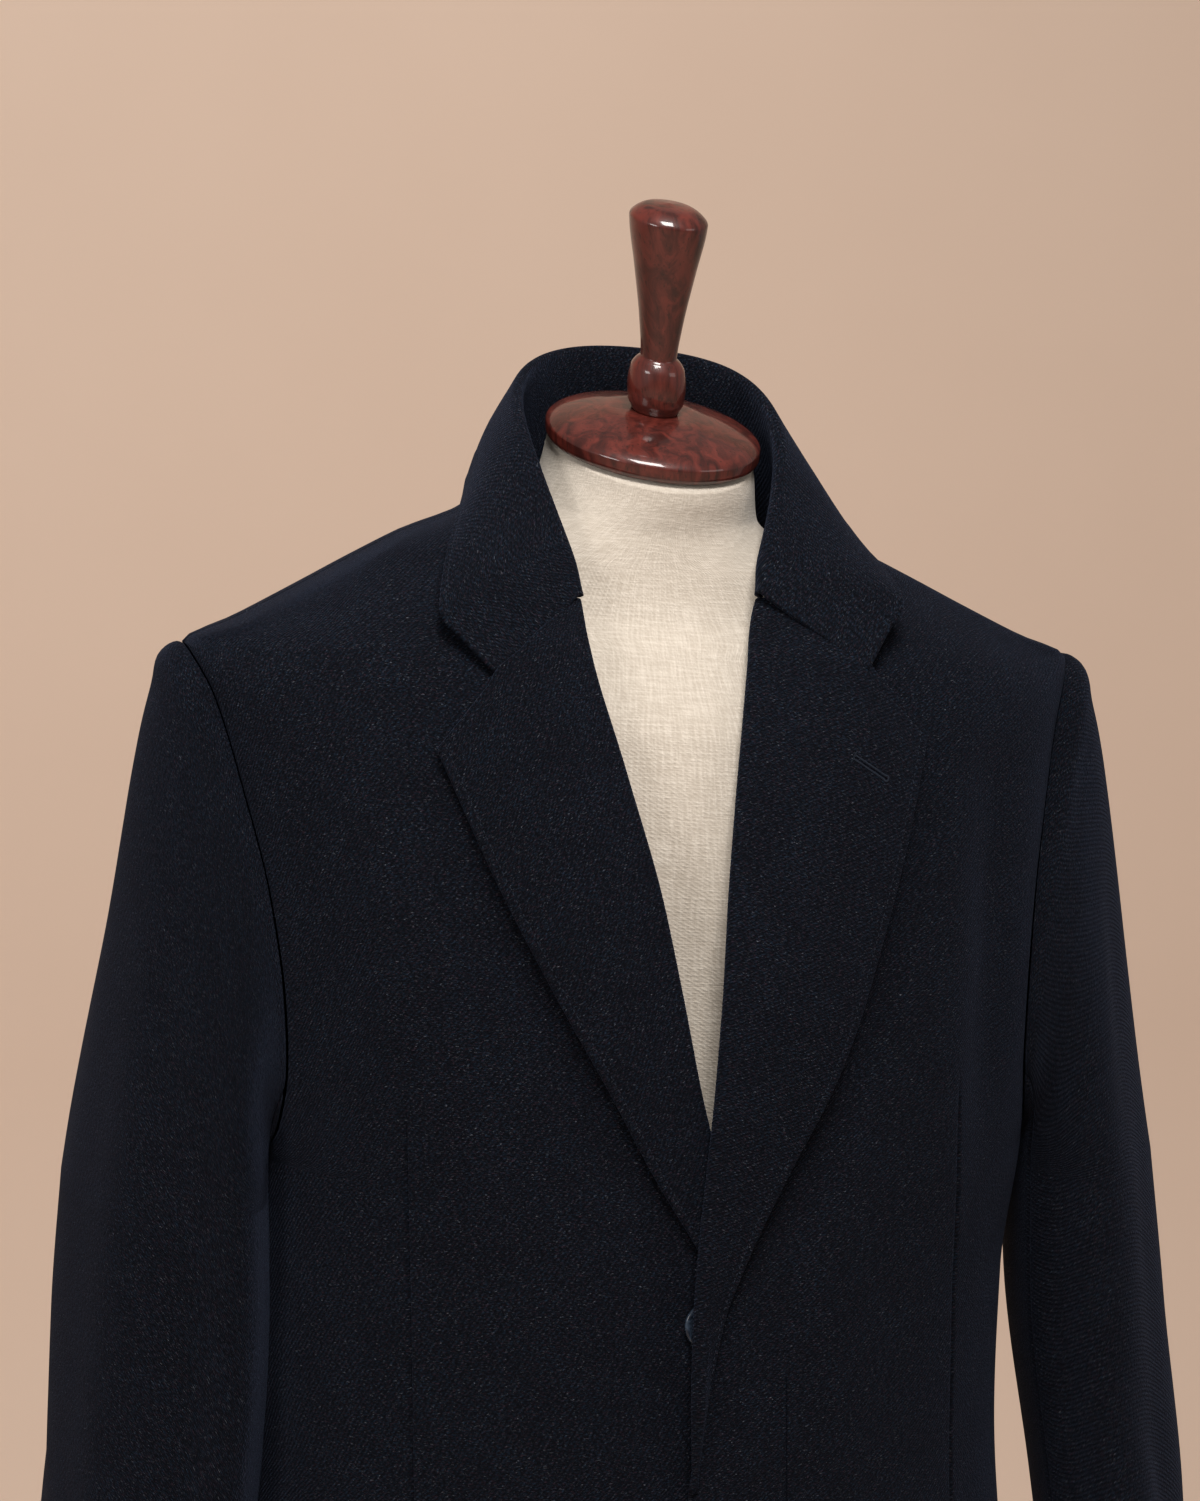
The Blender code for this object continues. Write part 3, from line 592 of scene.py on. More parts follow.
# %% [markdown]
# ## Heather
# Heathered wool is spun from fibres that were dyed in several shades, so close up it is speckled. Each
# shade here is laid over the last by its own stretched noise, turned to its own slant, which leaves
# short strokes like fibres. Cloudy noise keeps the cool shade from being even.

# %% The heather group: fibres of other shades
SHADES = ("Base", "Cool", "Warm", "Fibre")
heather_inputs = [("UV", "v", None), *((shade, "c", None) for shade in SHADES), ("Amount", "f", 1.0)]
heather, enter, leave = new_group("heather", heather_inputs, [("Color", "c")])
place, amount = enter.outputs["UV"], enter.outputs["Amount"]
slanted = mapping(heather, place, (1, 2.6, 1), 0.7)
crossed = mapping(heather, place, (1, 3.6, 1), -0.5)
cloud = ramp(heather, noise(heather, place, 45.0, 3.0, 0.6), 0.30, 0.75)
masks = {
    "Cool": ramp(heather, noise(heather, slanted, 520.0, 3.0, 0.75), 0.47, 0.66),
    "Warm": ramp(heather, noise(heather, crossed, 430.0, 3.0, 0.75, 0.4), 0.53, 0.70),
    "Fibre": ramp(heather, noise(heather, crossed, 620.0, 2.0, 0.6, 0.8), 0.62, 0.74),
}
shaded = enter.outputs["Base"]
for shade, mask in masks.items():
    share = times(heather, mask, amount)
    if shade == "Cool":
        share = times(heather, share, plus(heather, times(heather, cloud, 0.5), 0.5))
    shaded = mix(heather, share, shaded, enter.outputs[shade])
link(heather, shaded, leave.inputs["Color"])
print("heather group:", len(heather.nodes), "nodes")

# %% [markdown]
# ## The wool
# Navy overcoating is nearly black, but its fibres are not one colour: teal, ink blue and a little
# brown lie side by side, and a thin nap catches the light at a glancing angle. The heather group
# gives the colour, the twill group the bump, and the shader's own sheen gives the nap. The colour
# is also darkened between the twill's ribs, as painted shade in the weave's hollows.


# %% Wool material
def new_material(name, **sockets):
    """A Principled material with values set on the shader's own sockets."""
    material = bpy.data.materials.new(name)
    material.use_nodes = True
    shader = material.node_tree.nodes["Principled BSDF"]
    for key, value in sockets.items():
        shader.inputs[key.replace("_", " ")].default_value = value
    return material, material.node_tree, shader


def group_node(tree, group, **values):
    """A node that holds a group."""
    return add_node(tree, "ShaderNodeGroup", {"node_tree": group}, **values)


def make_wool(name, pitch, slope, base, strength):
    """Heathered colour, painted shade between the twill's ribs, and twill bump over the piece's own UV map.
    """
    nap = {"Sheen_Weight": 0.045, "Sheen_Roughness": 0.4, "Sheen_Tint": (0.45, 0.58, 1.0, 1)}
    material, tree, shader = new_material(name, Roughness=0.95, Specular_IOR_Level=0.04, **nap)
    uv = cloth_place(tree)
    weave = group_node(tree, twill, UV=uv, Pitch=pitch, Slope=slope, Fuzz=0.55)
    shades = {"Base": base, "Cool": COOL, "Warm": WARM, "Fibre": FIBRE}
    colour = group_node(tree, heather, UV=uv, Amount=1.0, **shades)
    # Painted shade: the colour darkens towards a near-black in the hollows between the twill's ribs.
    shade = plus(tree, times(tree, weave.outputs["Rib"], 0.75), 0.45)
    hollow = maths(tree, "SUBTRACT", 1.0, shade, True)
    link(tree, mix(tree, hollow, colour.outputs["Color"], RIB_HOLLOW_SHADE), shader.inputs["Base Color"])
    add_bump(tree, shader, weave.outputs["Height"], strength, 0.0009)
    return material


def make_thread(name, scale, dark, light, bump=0.0, **sockets):
    """Plied thread: noise between two shades over Object coordinates, and a bump from it."""
    material, tree, shader = new_material(name, **sockets)
    ply = noise(tree, object_place(tree), scale)
    link(tree, mix(tree, ply, dark, light), shader.inputs["Base Color"])
    if bump:
        add_bump(tree, shader, ply, bump, 0.0002)
    return material


# The second colour is a near-black of painted shade for the hollows between the ribs, not a yarn colour.
NAVY, RIB_HOLLOW_SHADE = (0.0026, 0.0030, 0.0048, 1), (0.0008, 0.0010, 0.0016, 1)
COOL, WARM, FIBRE = (0.0105, 0.0205, 0.0370, 1), (0.0260, 0.0150, 0.0230, 1), (0.090, 0.098, 0.118, 1)
wool = make_wool("navy_wool", 0.0024, 1.0, NAVY, 0.8)
thread = make_thread(
    "navy_thread", 2400.0, (0.009, 0.012, 0.019, 1), (0.019, 0.024, 0.035, 1), 0.5,
    Roughness=0.9, Specular_IOR_Level=0.08,
)
# Near black and darker than the cloth: real stitches coloured as painted shade of their groove, and the
# buttonhole's slit.
painted_shade_thread = make_thread(
    "painted_shade_thread", 900.0, (0.0008, 0.001, 0.0018, 1), (0.003, 0.004, 0.007, 1),
    Roughness=1.0, Specular_IOR_Level=0.02,
)
print("wool nodes:", len(wool.node_tree.nodes))

# %% [markdown]
# ## Fronts
# A front panel runs from the centre to the side seam, and above the underarm to the armhole. Its
# columns are set by true distance along the cloth, and they crowd towards the seams and the waist
# dart, where the cloth dips by half a millimetre. That is what a pressed seam looks like from
# outside: no gap, only a shallow valley.

# %% Columns by true distance along the cloth
EDGE_STEPS = np.array([0, 0.05, 0.11, 0.18, 0.27, 0.4, 0.65, 1.0])
DART_STEPS = np.array([-0.6, -0.3, -0.16, -0.08, 0, 0.08, 0.16, 0.3, 0.6])
DART_X, DART_TOP, DART_FOOT = 14.0, -21.5, -55.0
SEAM_GAP = 0.003


def seam_dip(distance, depth=0.06, width=0.13):
    """The valley of a pressed seam: depth * exp(-(distance / width)^2)."""
    return -depth * np.exp(-((distance / width) ** 2))


def by_distance(start, end, heights, guide=None, between=(16, 16)):
    """Angles whose distance along each row is: close steps at both ends, close steps round
    a guide line, and even steps between. Also returns the distances from start and to end."""
    fine = np.linspace(0, 1, 240)
    angles, from_start, to_end, from_guide = [], [], [], []
    for row, height in enumerate(heights):
        some = start[row] + (end[row] - start[row]) * fine
        run = arc(coat_surface(some, height), 0)
        length = run[-1]
        near = min(1.0, length / 12)
        at = length / 2
        if guide is not None:
            at = np.interp(abs(guide[row] - start[row]) / abs(end[row] - start[row]), fine, run)
        at = np.clip(at, 0.35 * length, 0.72 * length)
        low, high = EDGE_STEPS * near, length - EDGE_STEPS[::-1] * near
        dart = at + DART_STEPS * near
        left = np.linspace(low[-1], dart[0], between[0])[1:-1]
        right = np.linspace(dart[-1], high[0], between[1])[1:-1]
        steps = np.concatenate([low, left, dart, right, high])
        angles.append(np.interp(steps, run, some))
        from_start.append(steps)
        to_end.append(length - steps)
        from_guide.append(steps - at)
    return np.array(angles), np.array(from_start), np.array(to_end), np.array(from_guide)


def panel_heights():
    """Rows that front and back share: skirt, armhole, and the slope of the shoulder."""
    turn = np.linspace(np.pi, 0, 44)
    return np.concatenate(
        [
            [HEM, HEM + 0.15, HEM + 0.5],
            np.linspace(HEM + 1.2, -44, 44),
            np.linspace(-43.4, UNDERARM - 0.4, 40),
            UNDERARM / 2 * (1 - np.cos(turn)),
            np.linspace(0, NECK_POINT, 22)[1:],
        ]
    )


def ease_shoulder(points, far_from_seam, behind=False):
    """The cloth turns into the shoulder's slope over a few centimetres: the surface's y at each x
    is averaged over a bell curve of heights, all but at the seams."""
    x, height = points[..., 0], points[..., 2]
    shifts = np.linspace(-4.5, 4.5, 19)
    weights = np.exp(-((shifts / 2.2) ** 2))

    def depth(level):
        turn = angle_of(x, level)
        return coat_surface(np.pi - turn if behind else turn, level)[..., 1]

    depths = np.array([depth(height + shift) for shift in shifts])
    change = np.tensordot(weights / weights.sum(), depths, 1) - depth(height)
    window = smooth(-9, -4, height) * (1 - smooth(3.5, 6.5, height)) * smooth(0.2, 4, far_from_seam)
    eased = points.copy()
    eased[..., 1] += change * window
    return eased


def seam_angle(height, depth_name):
    """How far short of the side seam a panel stops, as an angle."""
    ratio = SEAM_GAP / section(depth_name, height)
    return np.arcsin(ratio ** (section("squareness", height) / 2))


heights = panel_heights()
in_armhole = (heights > UNDERARM + 1e-6) & (heights < -1e-6)
print("rows in a panel:", len(heights))

# %% [markdown]
# ## Cutting the fronts
# A front could be modelled flat and simulated until it hangs, but then no edge would lie where the
# tables say. Here the grid is laid on the coat's surface between two edges, and creases, the dart
# and the seams are small moves along its normals.


# %% Front panels
def front_surface(side, x, height):
    """Outer point and normal of a front at a distance x towards its own side."""
    sign = SIGN[side]
    angle = angle_of(np.asarray(x, float) * sign, height)
    point = coat_surface(angle, height)
    normal = surface_normal(coat_surface, angle, np.asarray(height, float))
    drape = front_lift(side, x, height) + front_drape(side, x, height)
    return point + normal * drape[..., None], normal


def front_drape(side, x, height):
    """Creases, faded out where the lapel lies and at the shoulder seam."""
    clear = smooth(-0.3, 1.3, x - read(LAPEL_EDGE, side, np.minimum(height, -2.8)) * smooth(-42, -34, height))
    return creases(FRONT_CREASES[side], x, height) * clear * (1 - smooth(-2.5, 1.0, height))


def make_front(side):
    """The front from its edge to the side seam, the armhole or the shoulder seam."""
    sign = SIGN[side]
    start = angle_of(hem_x(side, heights) * sign, heights)
    armhole = angle_of((read(ARMHOLE, "front", heights) - SEAM_GAP) * sign, heights)
    end = np.where(in_armhole, armhole, sign * (np.pi / 2 - seam_angle(heights, "front")))
    guide = angle_of(np.full_like(heights, DART_X) * sign, heights)
    angles, _, to_seam, from_dart = by_distance(start, end, heights, guide)
    levels = np.repeat(heights[:, None], angles.shape[1], 1)
    base = coat_surface(angles, levels)
    normals = surface_normal(coat_surface, angles, levels)
    x = base[..., 0] * sign
    dart = smooth(-1.5, 1.5, DART_TOP - levels) * smooth(DART_FOOT - 3, DART_FOOT + 3, levels)
    offset = front_lift(side, x, levels) + front_drape(side, x, levels)
    offset = offset + seam_dip(to_seam) + seam_dip(from_dart, 0.24, 0.075) * dart
    note_cut(f"front_{side}", base)
    outer = ease_shoulder(base + normals * offset[..., None], to_seam)
    inner = outer - normals * WALL
    rims = (0.09, 0.0, 0.11, 0.0)
    return cloth_shell(f"front_{side}", outer, inner, cloth_uv(base) * [-sign, 1], rims, wool)


fronts = {side: make_front(side) for side in SIGN}
for side, piece in fronts.items():
    print(piece.name, len(piece.data.polygons), "faces")

# %% [markdown]
# ## Backs
# The back is two panels that meet in a centre seam. They share the side seams with the fronts and
# the slope of the shoulders with them too, and rise a little towards the nape under the collar.


# %% Back panels
def make_back(side):
    """The back from the side seam, the armhole or the shoulder seam to the centre back."""
    sign = SIGN[side]
    armhole = np.pi - angle_of(read(ARMHOLE, "back", heights) - SEAM_GAP, heights)
    start = np.where(in_armhole, armhole, np.pi / 2 + seam_angle(heights, "back"))
    centre = SEAM_GAP / section("half_width", heights)
    end = np.pi - np.arcsin(centre ** (section("squareness", heights) / 2))
    angles, from_seam, to_centre, _ = by_distance(start * sign, end * sign, heights)
    levels = heights[:, None] + NAPE_RISE * smooth(0, NECK_POINT, heights)[:, None] * np.cos(angles) ** 2
    base = coat_surface(angles, levels)
    normals = surface_normal(coat_surface, angles, levels)
    x = (base[..., 0] - section("centre", levels)) * sign
    drape = creases(BACK_CREASES[side], x, levels) * smooth(0.3, 2.5, x) * (1 - smooth(-2.5, 1.0, levels))
    offset = drape + seam_dip(from_seam) + seam_dip(to_centre)
    note_cut(f"back_{side}", base)
    outer = ease_shoulder(base + normals * offset[..., None], from_seam, behind=True)
    inner = outer - normals * WALL
    rims = (0.09, 0.0, 0.0, 0.0)
    return cloth_shell(f"back_{side}", outer, inner, cloth_uv(base, -1) * [-sign, 1], rims, wool)


backs = {side: make_back(side) for side in SIGN}
print("backs:", sum(len(b.data.polygons) for b in backs.values()), "faces")

# %% [markdown]
# ## Lapels
# The lapel is the facing: it comes up from behind the front, rolls over the break line and lies on
# the chest. So the sheet starts inside, goes round the roll on an arc, and then spans to the
# lapel's edge, high near the roll and settling towards the edge. The last millimetres carry
# a shallow groove, where the pick stitches pull the edge flat.

# %% Lapel sheets
LAPEL_REST, NOTCH_SHARE, NOTCH_RISE, PICK_INSET = 0.52, 0.62, 0.65, 0.30
GORGE_RISE, LAPEL_RUN = 0.38, 30  # how far the lapel's top rises, and about how long its roll is
PICK_STEPS = np.array([0.85, 0.6, 0.44, 0.36, PICK_INSET, 0.24, 0.17, 0.1, 0.04, 0.0])


def pick_groove(distance, depth=0.035, width=0.09):
    """A groove at the stitches' distance from the edge."""
    return -depth * np.exp(-(((distance - PICK_INSET) / width) ** 2))


def make_lapel(side):
    """Rows run up the roll and columns across it: facing, roll, leaf."""
    sizes, sign = LAPEL[side], SIGN[side]
    groove_rows = 1 - PICK_STEPS / LAPEL_RUN
    rows = np.concatenate([np.linspace(0, groove_rows[0], 110), groove_rows[1:]])
    fold_z = sizes["foot"] + (sizes["gorge"] - sizes["foot"]) * rows
    edge_z = sizes["foot"] + (sizes["corner"] - sizes["foot"]) * rows
    radius = fold_radius(side, fold_z)
    begin = hem_x(side, fold_z)
    gorge_rise = GORGE_RISE * rows**10
    point, normal = front_surface(side, begin, fold_z + gorge_rise)
    middle = point - normal * WALL / 2
    level = np.stack([np.full_like(fold_z, -sign), 0 * fold_z, 0 * fold_z], -1)
    towards = unit(level - normal * np.sum(level * normal, -1, keepdims=True))
    columns = []
    for back in (2.2, 1.2, 0.5):
        depth = WALL * smooth(0.1, 1.2, back)
        columns.append(middle - towards * back - normal * (0.02 + depth))
    for turn in np.radians(np.linspace(0, 165, 13)):
        out, up = radius * np.sin(turn), radius * (1 - np.cos(turn))
        columns.append(middle + towards * out[:, None] + normal * up[:, None])
    edge_x = np.maximum(read(LAPEL_EDGE, side, edge_z), begin + 0.12)
    width = edge_x - begin
    inset = np.minimum(0.85, 0.35 * width)
    shares = [s * (1 - inset / width) for s in np.linspace(0.03, 1, 24)[:-1]]
    shares += [1 - d / PICK_STEPS[0] * inset / width for d in PICK_STEPS]
    for share in shares:
        x = begin + width * share
        bend = NOTCH_RISE * np.minimum(share / NOTCH_SHARE, (1 - share) / (1 - NOTCH_SHARE))
        z = fold_z + (edge_z - fold_z) * share + bend * rows**4
        z = z + gorge_rise * (1 - smooth(NOTCH_SHARE - 0.03, NOTCH_SHARE + 0.04, share))
        point, normal = front_surface(side, x, z)
        rest = np.minimum(LAPEL_REST, 0.12 + 0.3 * width)
        height = 2 * radius + (rest - 2 * radius) * smooth(0, 0.9, share)
        body = 0.22 * np.sin(np.pi * np.clip(share, 0, 1)) * smooth(0.5, 4, width)
        groove = pick_groove((1 - share) * width) * smooth(1, 3, width)
        top_groove = pick_groove((1 - rows) * LAPEL_RUN) * smooth(NOTCH_SHARE, NOTCH_SHARE + 0.06, share)
        columns.append(point + normal * (height - WALL / 2 + body + groove + top_groove)[:, None])
    middle = np.stack(columns, 1)
    normals = grid_normals(middle)
    thin = WALL * (0.4 + 0.6 * smooth(0, 5, fold_z - sizes["foot"]))[:, None, None]
    faces_out = middle + normals * thin / 2
    faces_in = middle - normals * thin / 2
    if np.sum(normals[60, -5] * [0, -1, 0]) < 0:
        faces_out, faces_in = faces_in, faces_out
    note_cut(f"lapel_{side}", middle)
    uv = cloth_uv(middle, -1) * [-sign, 1]
    return cloth_shell(f"lapel_{side}", faces_out, faces_in, uv, (0.0, 0.08, 0.0, 0.09), wool), faces_out


lapels, lapel_faces = {}, {}
for side in SIGN:
    lapels[side], lapel_faces[side] = make_lapel(side)
print("lapels:", [len(p.data.polygons) for p in lapels.values()])

# %% [markdown]
# ## Collar
# One band goes round the neck from gorge to gorge: the leaf outside, a fold at the top, and
# the stand inside. Three lines rule it, the fold, the leaf's edge and the stand's foot, each read
# from one table by station, so that the band flares and narrows as a real undercollar does.

# %% Collar band
COLLAR = table(
    "station fold_x fold_y fold_z edge_x edge_y edge_z foot_x foot_y foot_z",
    [
        (0, -4.50, -7.2, 2.95, -9.3, -9.8, -0.85, -4.85, -6.2, 2.75),
        (1, -4.75, -6.8, 4.1, -10.7, -9.2, 0.6, -5.20, -5.6, 3.4),
        (2, -5.15, -6.1, 5.5, -11.8, -8.5, 2.2, -5.60, -5.2, 4.4),
        (3, -5.90, -4.4, 8.3, -10.6, -4.8, 5.7, -6.60, -3.8, 5.9),
        (4, -6.35, -1.2, 11.2, -8.7, -0.8, 7.4, -7.90, -1.2, 7.5),
        (5, -5.70, 3.0, 13.3, -8.1, 4.0, 8.3, -7.30, 2.9, 8.0),
        (6, -3.40, 6.0, 14.8, -5.3, 7.5, 9.0, -4.20, 5.9, 9.4),
        (7, 0.30, 7.4, 15.5, 0.3, 8.8, 9.2, 0.00, 6.9, 10.0),
        (8, 4.80, 6.2, 15.4, 6.9, 7.6, 8.8, 4.20, 5.9, 9.4),
        (9, 7.00, 3.0, 14.4, 9.6, 4.0, 7.6, 7.30, 2.9, 8.0),
        (10, 7.50, -1.2, 12.3, 10.9, -0.8, 6.5, 7.90, -1.2, 7.5),
        (11, 6.40, -4.4, 8.8, 11.6, -5.0, 5.2, 6.60, -3.8, 5.9),
        (12, 5.20, -6.1, 6.0, 11.5, -8.5, 3.55, 5.60, -5.2, 4.6),
        (13, 4.70, -6.8, 4.7, 10.4, -9.2, 1.9, 5.20, -5.6, 3.8),
        (14, 4.35, -7.2, 3.7, 9.3, -9.8, 0.25, 4.85, -6.2, 3.35),
    ],
)
COLLAR_FOLD_RADIUS, COLLAR_REST, LEAF_BULGE, STAND_TUCK, GORGE_SINK = 0.34, 0.34, 0.34, 1.6, 0.12


def soften(line, passes=220):
    """A line's points averaged with their neighbours, ends held."""
    line = line.copy()
    for _ in range(passes):
        line[1:-1] = 0.5 * line[1:-1] + 0.25 * (line[:-2] + line[2:])
    return line


def make_collar():
    """Columns run from the leaf's edge up over the fold and down the stand."""
    station = np.linspace(0, 14, 241)

    def line(name):
        parts = [read(COLLAR, f"{name}_{axis}", station, "station") for axis in "xyz"]
        return np.stack(parts, -1)

    fold, edge, foot = soften(line("fold")), line("edge"), soften(line("foot"))
    # the leaf's tips stay crisp: only the edge behind them is softened
    held = smooth(1.8, 3.2, station) * (1 - smooth(10.8, 12.2, station))
    edge = edge + (soften(edge) - edge) * held[:, None]
    outward = edge - foot
    outward[:, 2] = 0
    outward = soften(unit(outward))
    # the fold tightens at both gorges, to run into the roll of the lapels
    slim = 0.5 + 0.5 * smooth(0, 1.6, station) * (1 - smooth(12.4, 14, station))
    radius = (COLLAR_FOLD_RADIUS * slim)[:, None]
    fold = fold + outward * (COLLAR_FOLD_RADIUS - radius)
    centre = fold - radius * [0, 0, 1]
    leaf_top = centre + outward * radius
    stand_top = centre - outward * radius
    length = np.linalg.norm(leaf_top - edge, axis=-1)
    shares = [d / length for d in PICK_STEPS[::-1]]
    shares += [0.85 / length + (1 - 0.85 / length) * s for s in np.linspace(0, 1, 20)[1:-1]]
    body = 0.25 + 0.75 * smooth(0, 1.5, station) * (1 - smooth(12.5, 14, station))
    columns = []
    for share in shares:
        bulge = LEAF_BULGE * body * np.sin(np.pi * share**1.15) + pick_groove(share * length)
        columns.append(edge + (leaf_top - edge) * share[:, None] + outward * bulge[:, None])
    leaf_columns = len(columns) + 1
    for turn in np.radians(np.linspace(0, 180, 13)):
        columns.append(centre + radius * (outward * np.cos(turn) + [0, 0, np.sin(turn)]))
    tuck = (STAND_TUCK * smooth(1.6, 3.2, station) * (1 - smooth(10.8, 12.4, station)))[:, None] * [0, 0, -1]
    columns += [stand_top + (foot + tuck - stand_top) * s for s in np.linspace(0, 1, 11)[1:]]
    middle = np.stack(columns, 1)
    leaf = middle[:, :leaf_columns]
    x, height = leaf[..., 0], leaf[..., 2]
    rest = coat_surface(angle_of(x, height), height)[..., 1] - COLLAR_REST
    rest = rest + pick_groove(np.stack([s * length for s in shares] + [length], 1)) * -1
    reach = np.abs(x) / section("half_width", height)
    on_front = smooth(0.5, -2.5, leaf[..., 1]) * (1 - smooth(0.72, 0.94, reach))
    at_gorge = 1 - smooth(0, 0.8, station) * (1 - smooth(13.2, 14, station))
    rest = rest + (GORGE_SINK * at_gorge)[:, None]
    push = np.minimum(rest - leaf[..., 1], 0) * on_front
    for _ in range(60):  # spread the push sideways, so that the leaf takes it up softly
        push[1:-1] = np.minimum(push[1:-1], 0.5 * push[1:-1] + 0.25 * (push[2:] + push[:-2]))
    leaf[..., 1] += push
    for _ in range(24):
        middle[1:-1, 12:-2] = 0.5 * middle[1:-1, 12:-2] + 0.25 * (middle[2:, 12:-2] + middle[:-2, 12:-2])
    near = slice(leaf_columns - 9, leaf_columns + 15)
    for _ in range(10):
        middle[:, near] = 0.5 * middle[:, near] + 0.25 * (
            middle[:, near.start + 1 : near.stop + 1] + middle[:, near.start - 1 : near.stop - 1]
        )
    normals = grid_normals(middle)
    if np.sum(normals[5, 4] * [0, -1, 0]) < 0:
        normals = -normals
    note_cut("collar", middle)
    outer, inner = middle + normals * WALL / 2, middle - normals * WALL / 2
    rims = (0.03, 0.03, 0.09, 0.0)
    return cloth_shell("collar", outer, inner, cloth_uv(middle)[..., ::-1], rims, wool), outer


collar, collar_face = make_collar()
print("collar:", len(collar.data.polygons), "faces")

# %% [markdown]
# ## Sleeves
# A coat sleeve is two pieces, a wide top sleeve and a narrow under sleeve. Below the biceps it is
# a slanting, flattened tube. Above, it has to reach the armhole: each point travels on a Bezier
# curve that leaves the armhole outwards, which gives the rounded sleeve head, and arrives at the
# biceps ring heading down.

# %% Sleeve pieces
SLEEVE = table(
    "height centre_x centre_y thick deep turn",
    [
        (-63.5, 27.10, -4.0, 3.25, 6.5, 25.0),
        (-55.0, 26.70, -2.4, 3.65, 7.1, 24.0),
        (-45.0, 26.10, -1.0, 4.10, 7.7, 22.0),
        (-35.0, 25.10, 0.0, 4.25, 8.1, 20.0),
        (-27.0, 24.65, 0.4, 4.00, 8.4, 18.0),
    ],
)
BICEPS, CUFF = -27.0, -63.5
SLEEVE_HEAD_OUT, SLEEVE_HEAD_DROP, ARMPIT_OUT, ARMPIT_DROP = 2.5, 13.0, 1.0, 0.7
FRONT_SEAM, BACK_SEAM, SLEEVE_SEAM_GAP = 135.0, -120.0, 0.06  # degrees round the arm
SLEEVE_CREASES = {
    "left": table(
        CREASE_COLUMNS,
        [
            (3.0, -8.0, 7.0, -30.0, 1.7, -0.22),
            (-2.0, -6.0, -5.0, -26.0, 1.8, -0.18),
            (7.4, -10.0, 8.2, -58.0, 2.2, 0.36),
            (11.8, -14.0, 12.0, -54.0, 1.8, -0.50),
            (3.2, -12.0, 3.6, -57.0, 1.9, -0.36),
            (6.5, -38.0, -1.0, -54.0, 1.6, -0.24),
            (-8.5, -30.0, -3.0, -46.0, 1.7, -0.28),
            (-9.0, -42.0, -2.0, -56.0, 1.6, 0.24),
        ],
    ),
    "right": table(
        CREASE_COLUMNS,
        [
            (3.5, -9.0, 6.0, -33.0, 1.8, -0.26),
            (-2.5, -7.0, -4.5, -28.0, 1.9, -0.20),
            (3.4, -10.0, 1.6, -60.0, 1.9, 0.45),
            (7.8, -15.0, 6.6, -61.0, 1.8, -0.58),
            (12.0, -24.0, 11.0, -60.0, 1.7, 0.24),
            (15.6, -24.0, 15.2, -50.0, 1.9, 0.55),
            (-8.0, -33.0, -2.0, -48.0, 1.8, -0.26),
            (-9.0, -45.0, -2.5, -58.0, 1.6, 0.22),
        ],
    ),
}


def arm_surface(turn, height):
    """The sleeve tube: an ellipse of half sizes thick and deep, swung about the vertical. Turn 0
    is outside and a quarter turn is the front."""
    swing = np.radians(read(SLEEVE, "turn", height))
    across = read(SLEEVE, "thick", height) * np.cos(turn)
    forward = read(SLEEVE, "deep", height) * np.sin(turn)
    x = read(SLEEVE, "centre_x", height) + across * np.cos(swing) - forward * np.sin(swing)
    y = read(SLEEVE, "centre_y", height) - across * np.sin(swing) - forward * np.cos(swing)
    return np.stack([x, y, height + 0 * turn], -1)


def cap_surface(turn, share):
    """Bezier from the armhole, at share 0, to the biceps ring, at share 1."""
    turn, share = np.broadcast_arrays(np.asarray(turn, float), np.asarray(share, float))
    level = UNDERARM / 2 * (1 - np.cos(turn))
    in_front = np.sin(turn) >= 0
    x = np.where(in_front, read(ARMHOLE, "front", level), read(ARMHOLE, "back", level))
    angle = angle_of(x, level)
    start = coat_surface(np.where(in_front, angle, np.pi - angle), level) + [SEAM_GAP, 0, 0]
    end = arm_surface(turn, np.full_like(turn, BICEPS))
    high = ((1 + np.cos(turn)) / 2)[..., None]
    side = np.sin(turn)[..., None]
    out = unit(np.concatenate([0.5 + 0.5 * high, -0.45 * side, -0.7 + 0.85 * high], -1))
    first = start + out * (ARMPIT_OUT + (SLEEVE_HEAD_OUT - ARMPIT_OUT) * high)
    rise = np.concatenate([-0.17 * high, 0 * high, 1 + 0 * high], -1)
    last = end + rise * (ARMPIT_DROP + (SLEEVE_HEAD_DROP - ARMPIT_DROP) * high**1.2)
    t = share[..., None]
    return (1 - t) ** 3 * start + 3 * t * (1 - t) ** 2 * first + 3 * t**2 * (1 - t) * last + t**3 * end


def sleeve_grid(turns):
    """Outer points, their normals and a level for each row, from the armhole to the cuff."""
    close = np.array([0, 0.004, 0.01, 0.02, 0.035, 0.055])
    shares = np.concatenate([close, np.linspace(0.08, 0.985, 42)])
    cap_turn, cap_share = np.meshgrid(turns, shares)
    levels = np.concatenate([np.linspace(BICEPS, CUFF + 0.6, 62), [CUFF + 0.25, CUFF]])
    arm_turn, arm_level = np.meshgrid(turns, levels)
    outer = np.concatenate([cap_surface(cap_turn, cap_share), arm_surface(arm_turn, arm_level)])
    cap_normals = surface_normal(cap_surface, cap_turn, cap_share + 2e-3)
    normals = np.concatenate([cap_normals, -surface_normal(arm_surface, arm_turn, arm_level)])
    for _ in range(10):  # the two stretches meet in one soft line
        blend = 0.5 * normals[1:-1] + 0.25 * (normals[2:] + normals[:-2])
        normals[30:70] = unit(blend[29:69])
    return outer, normals


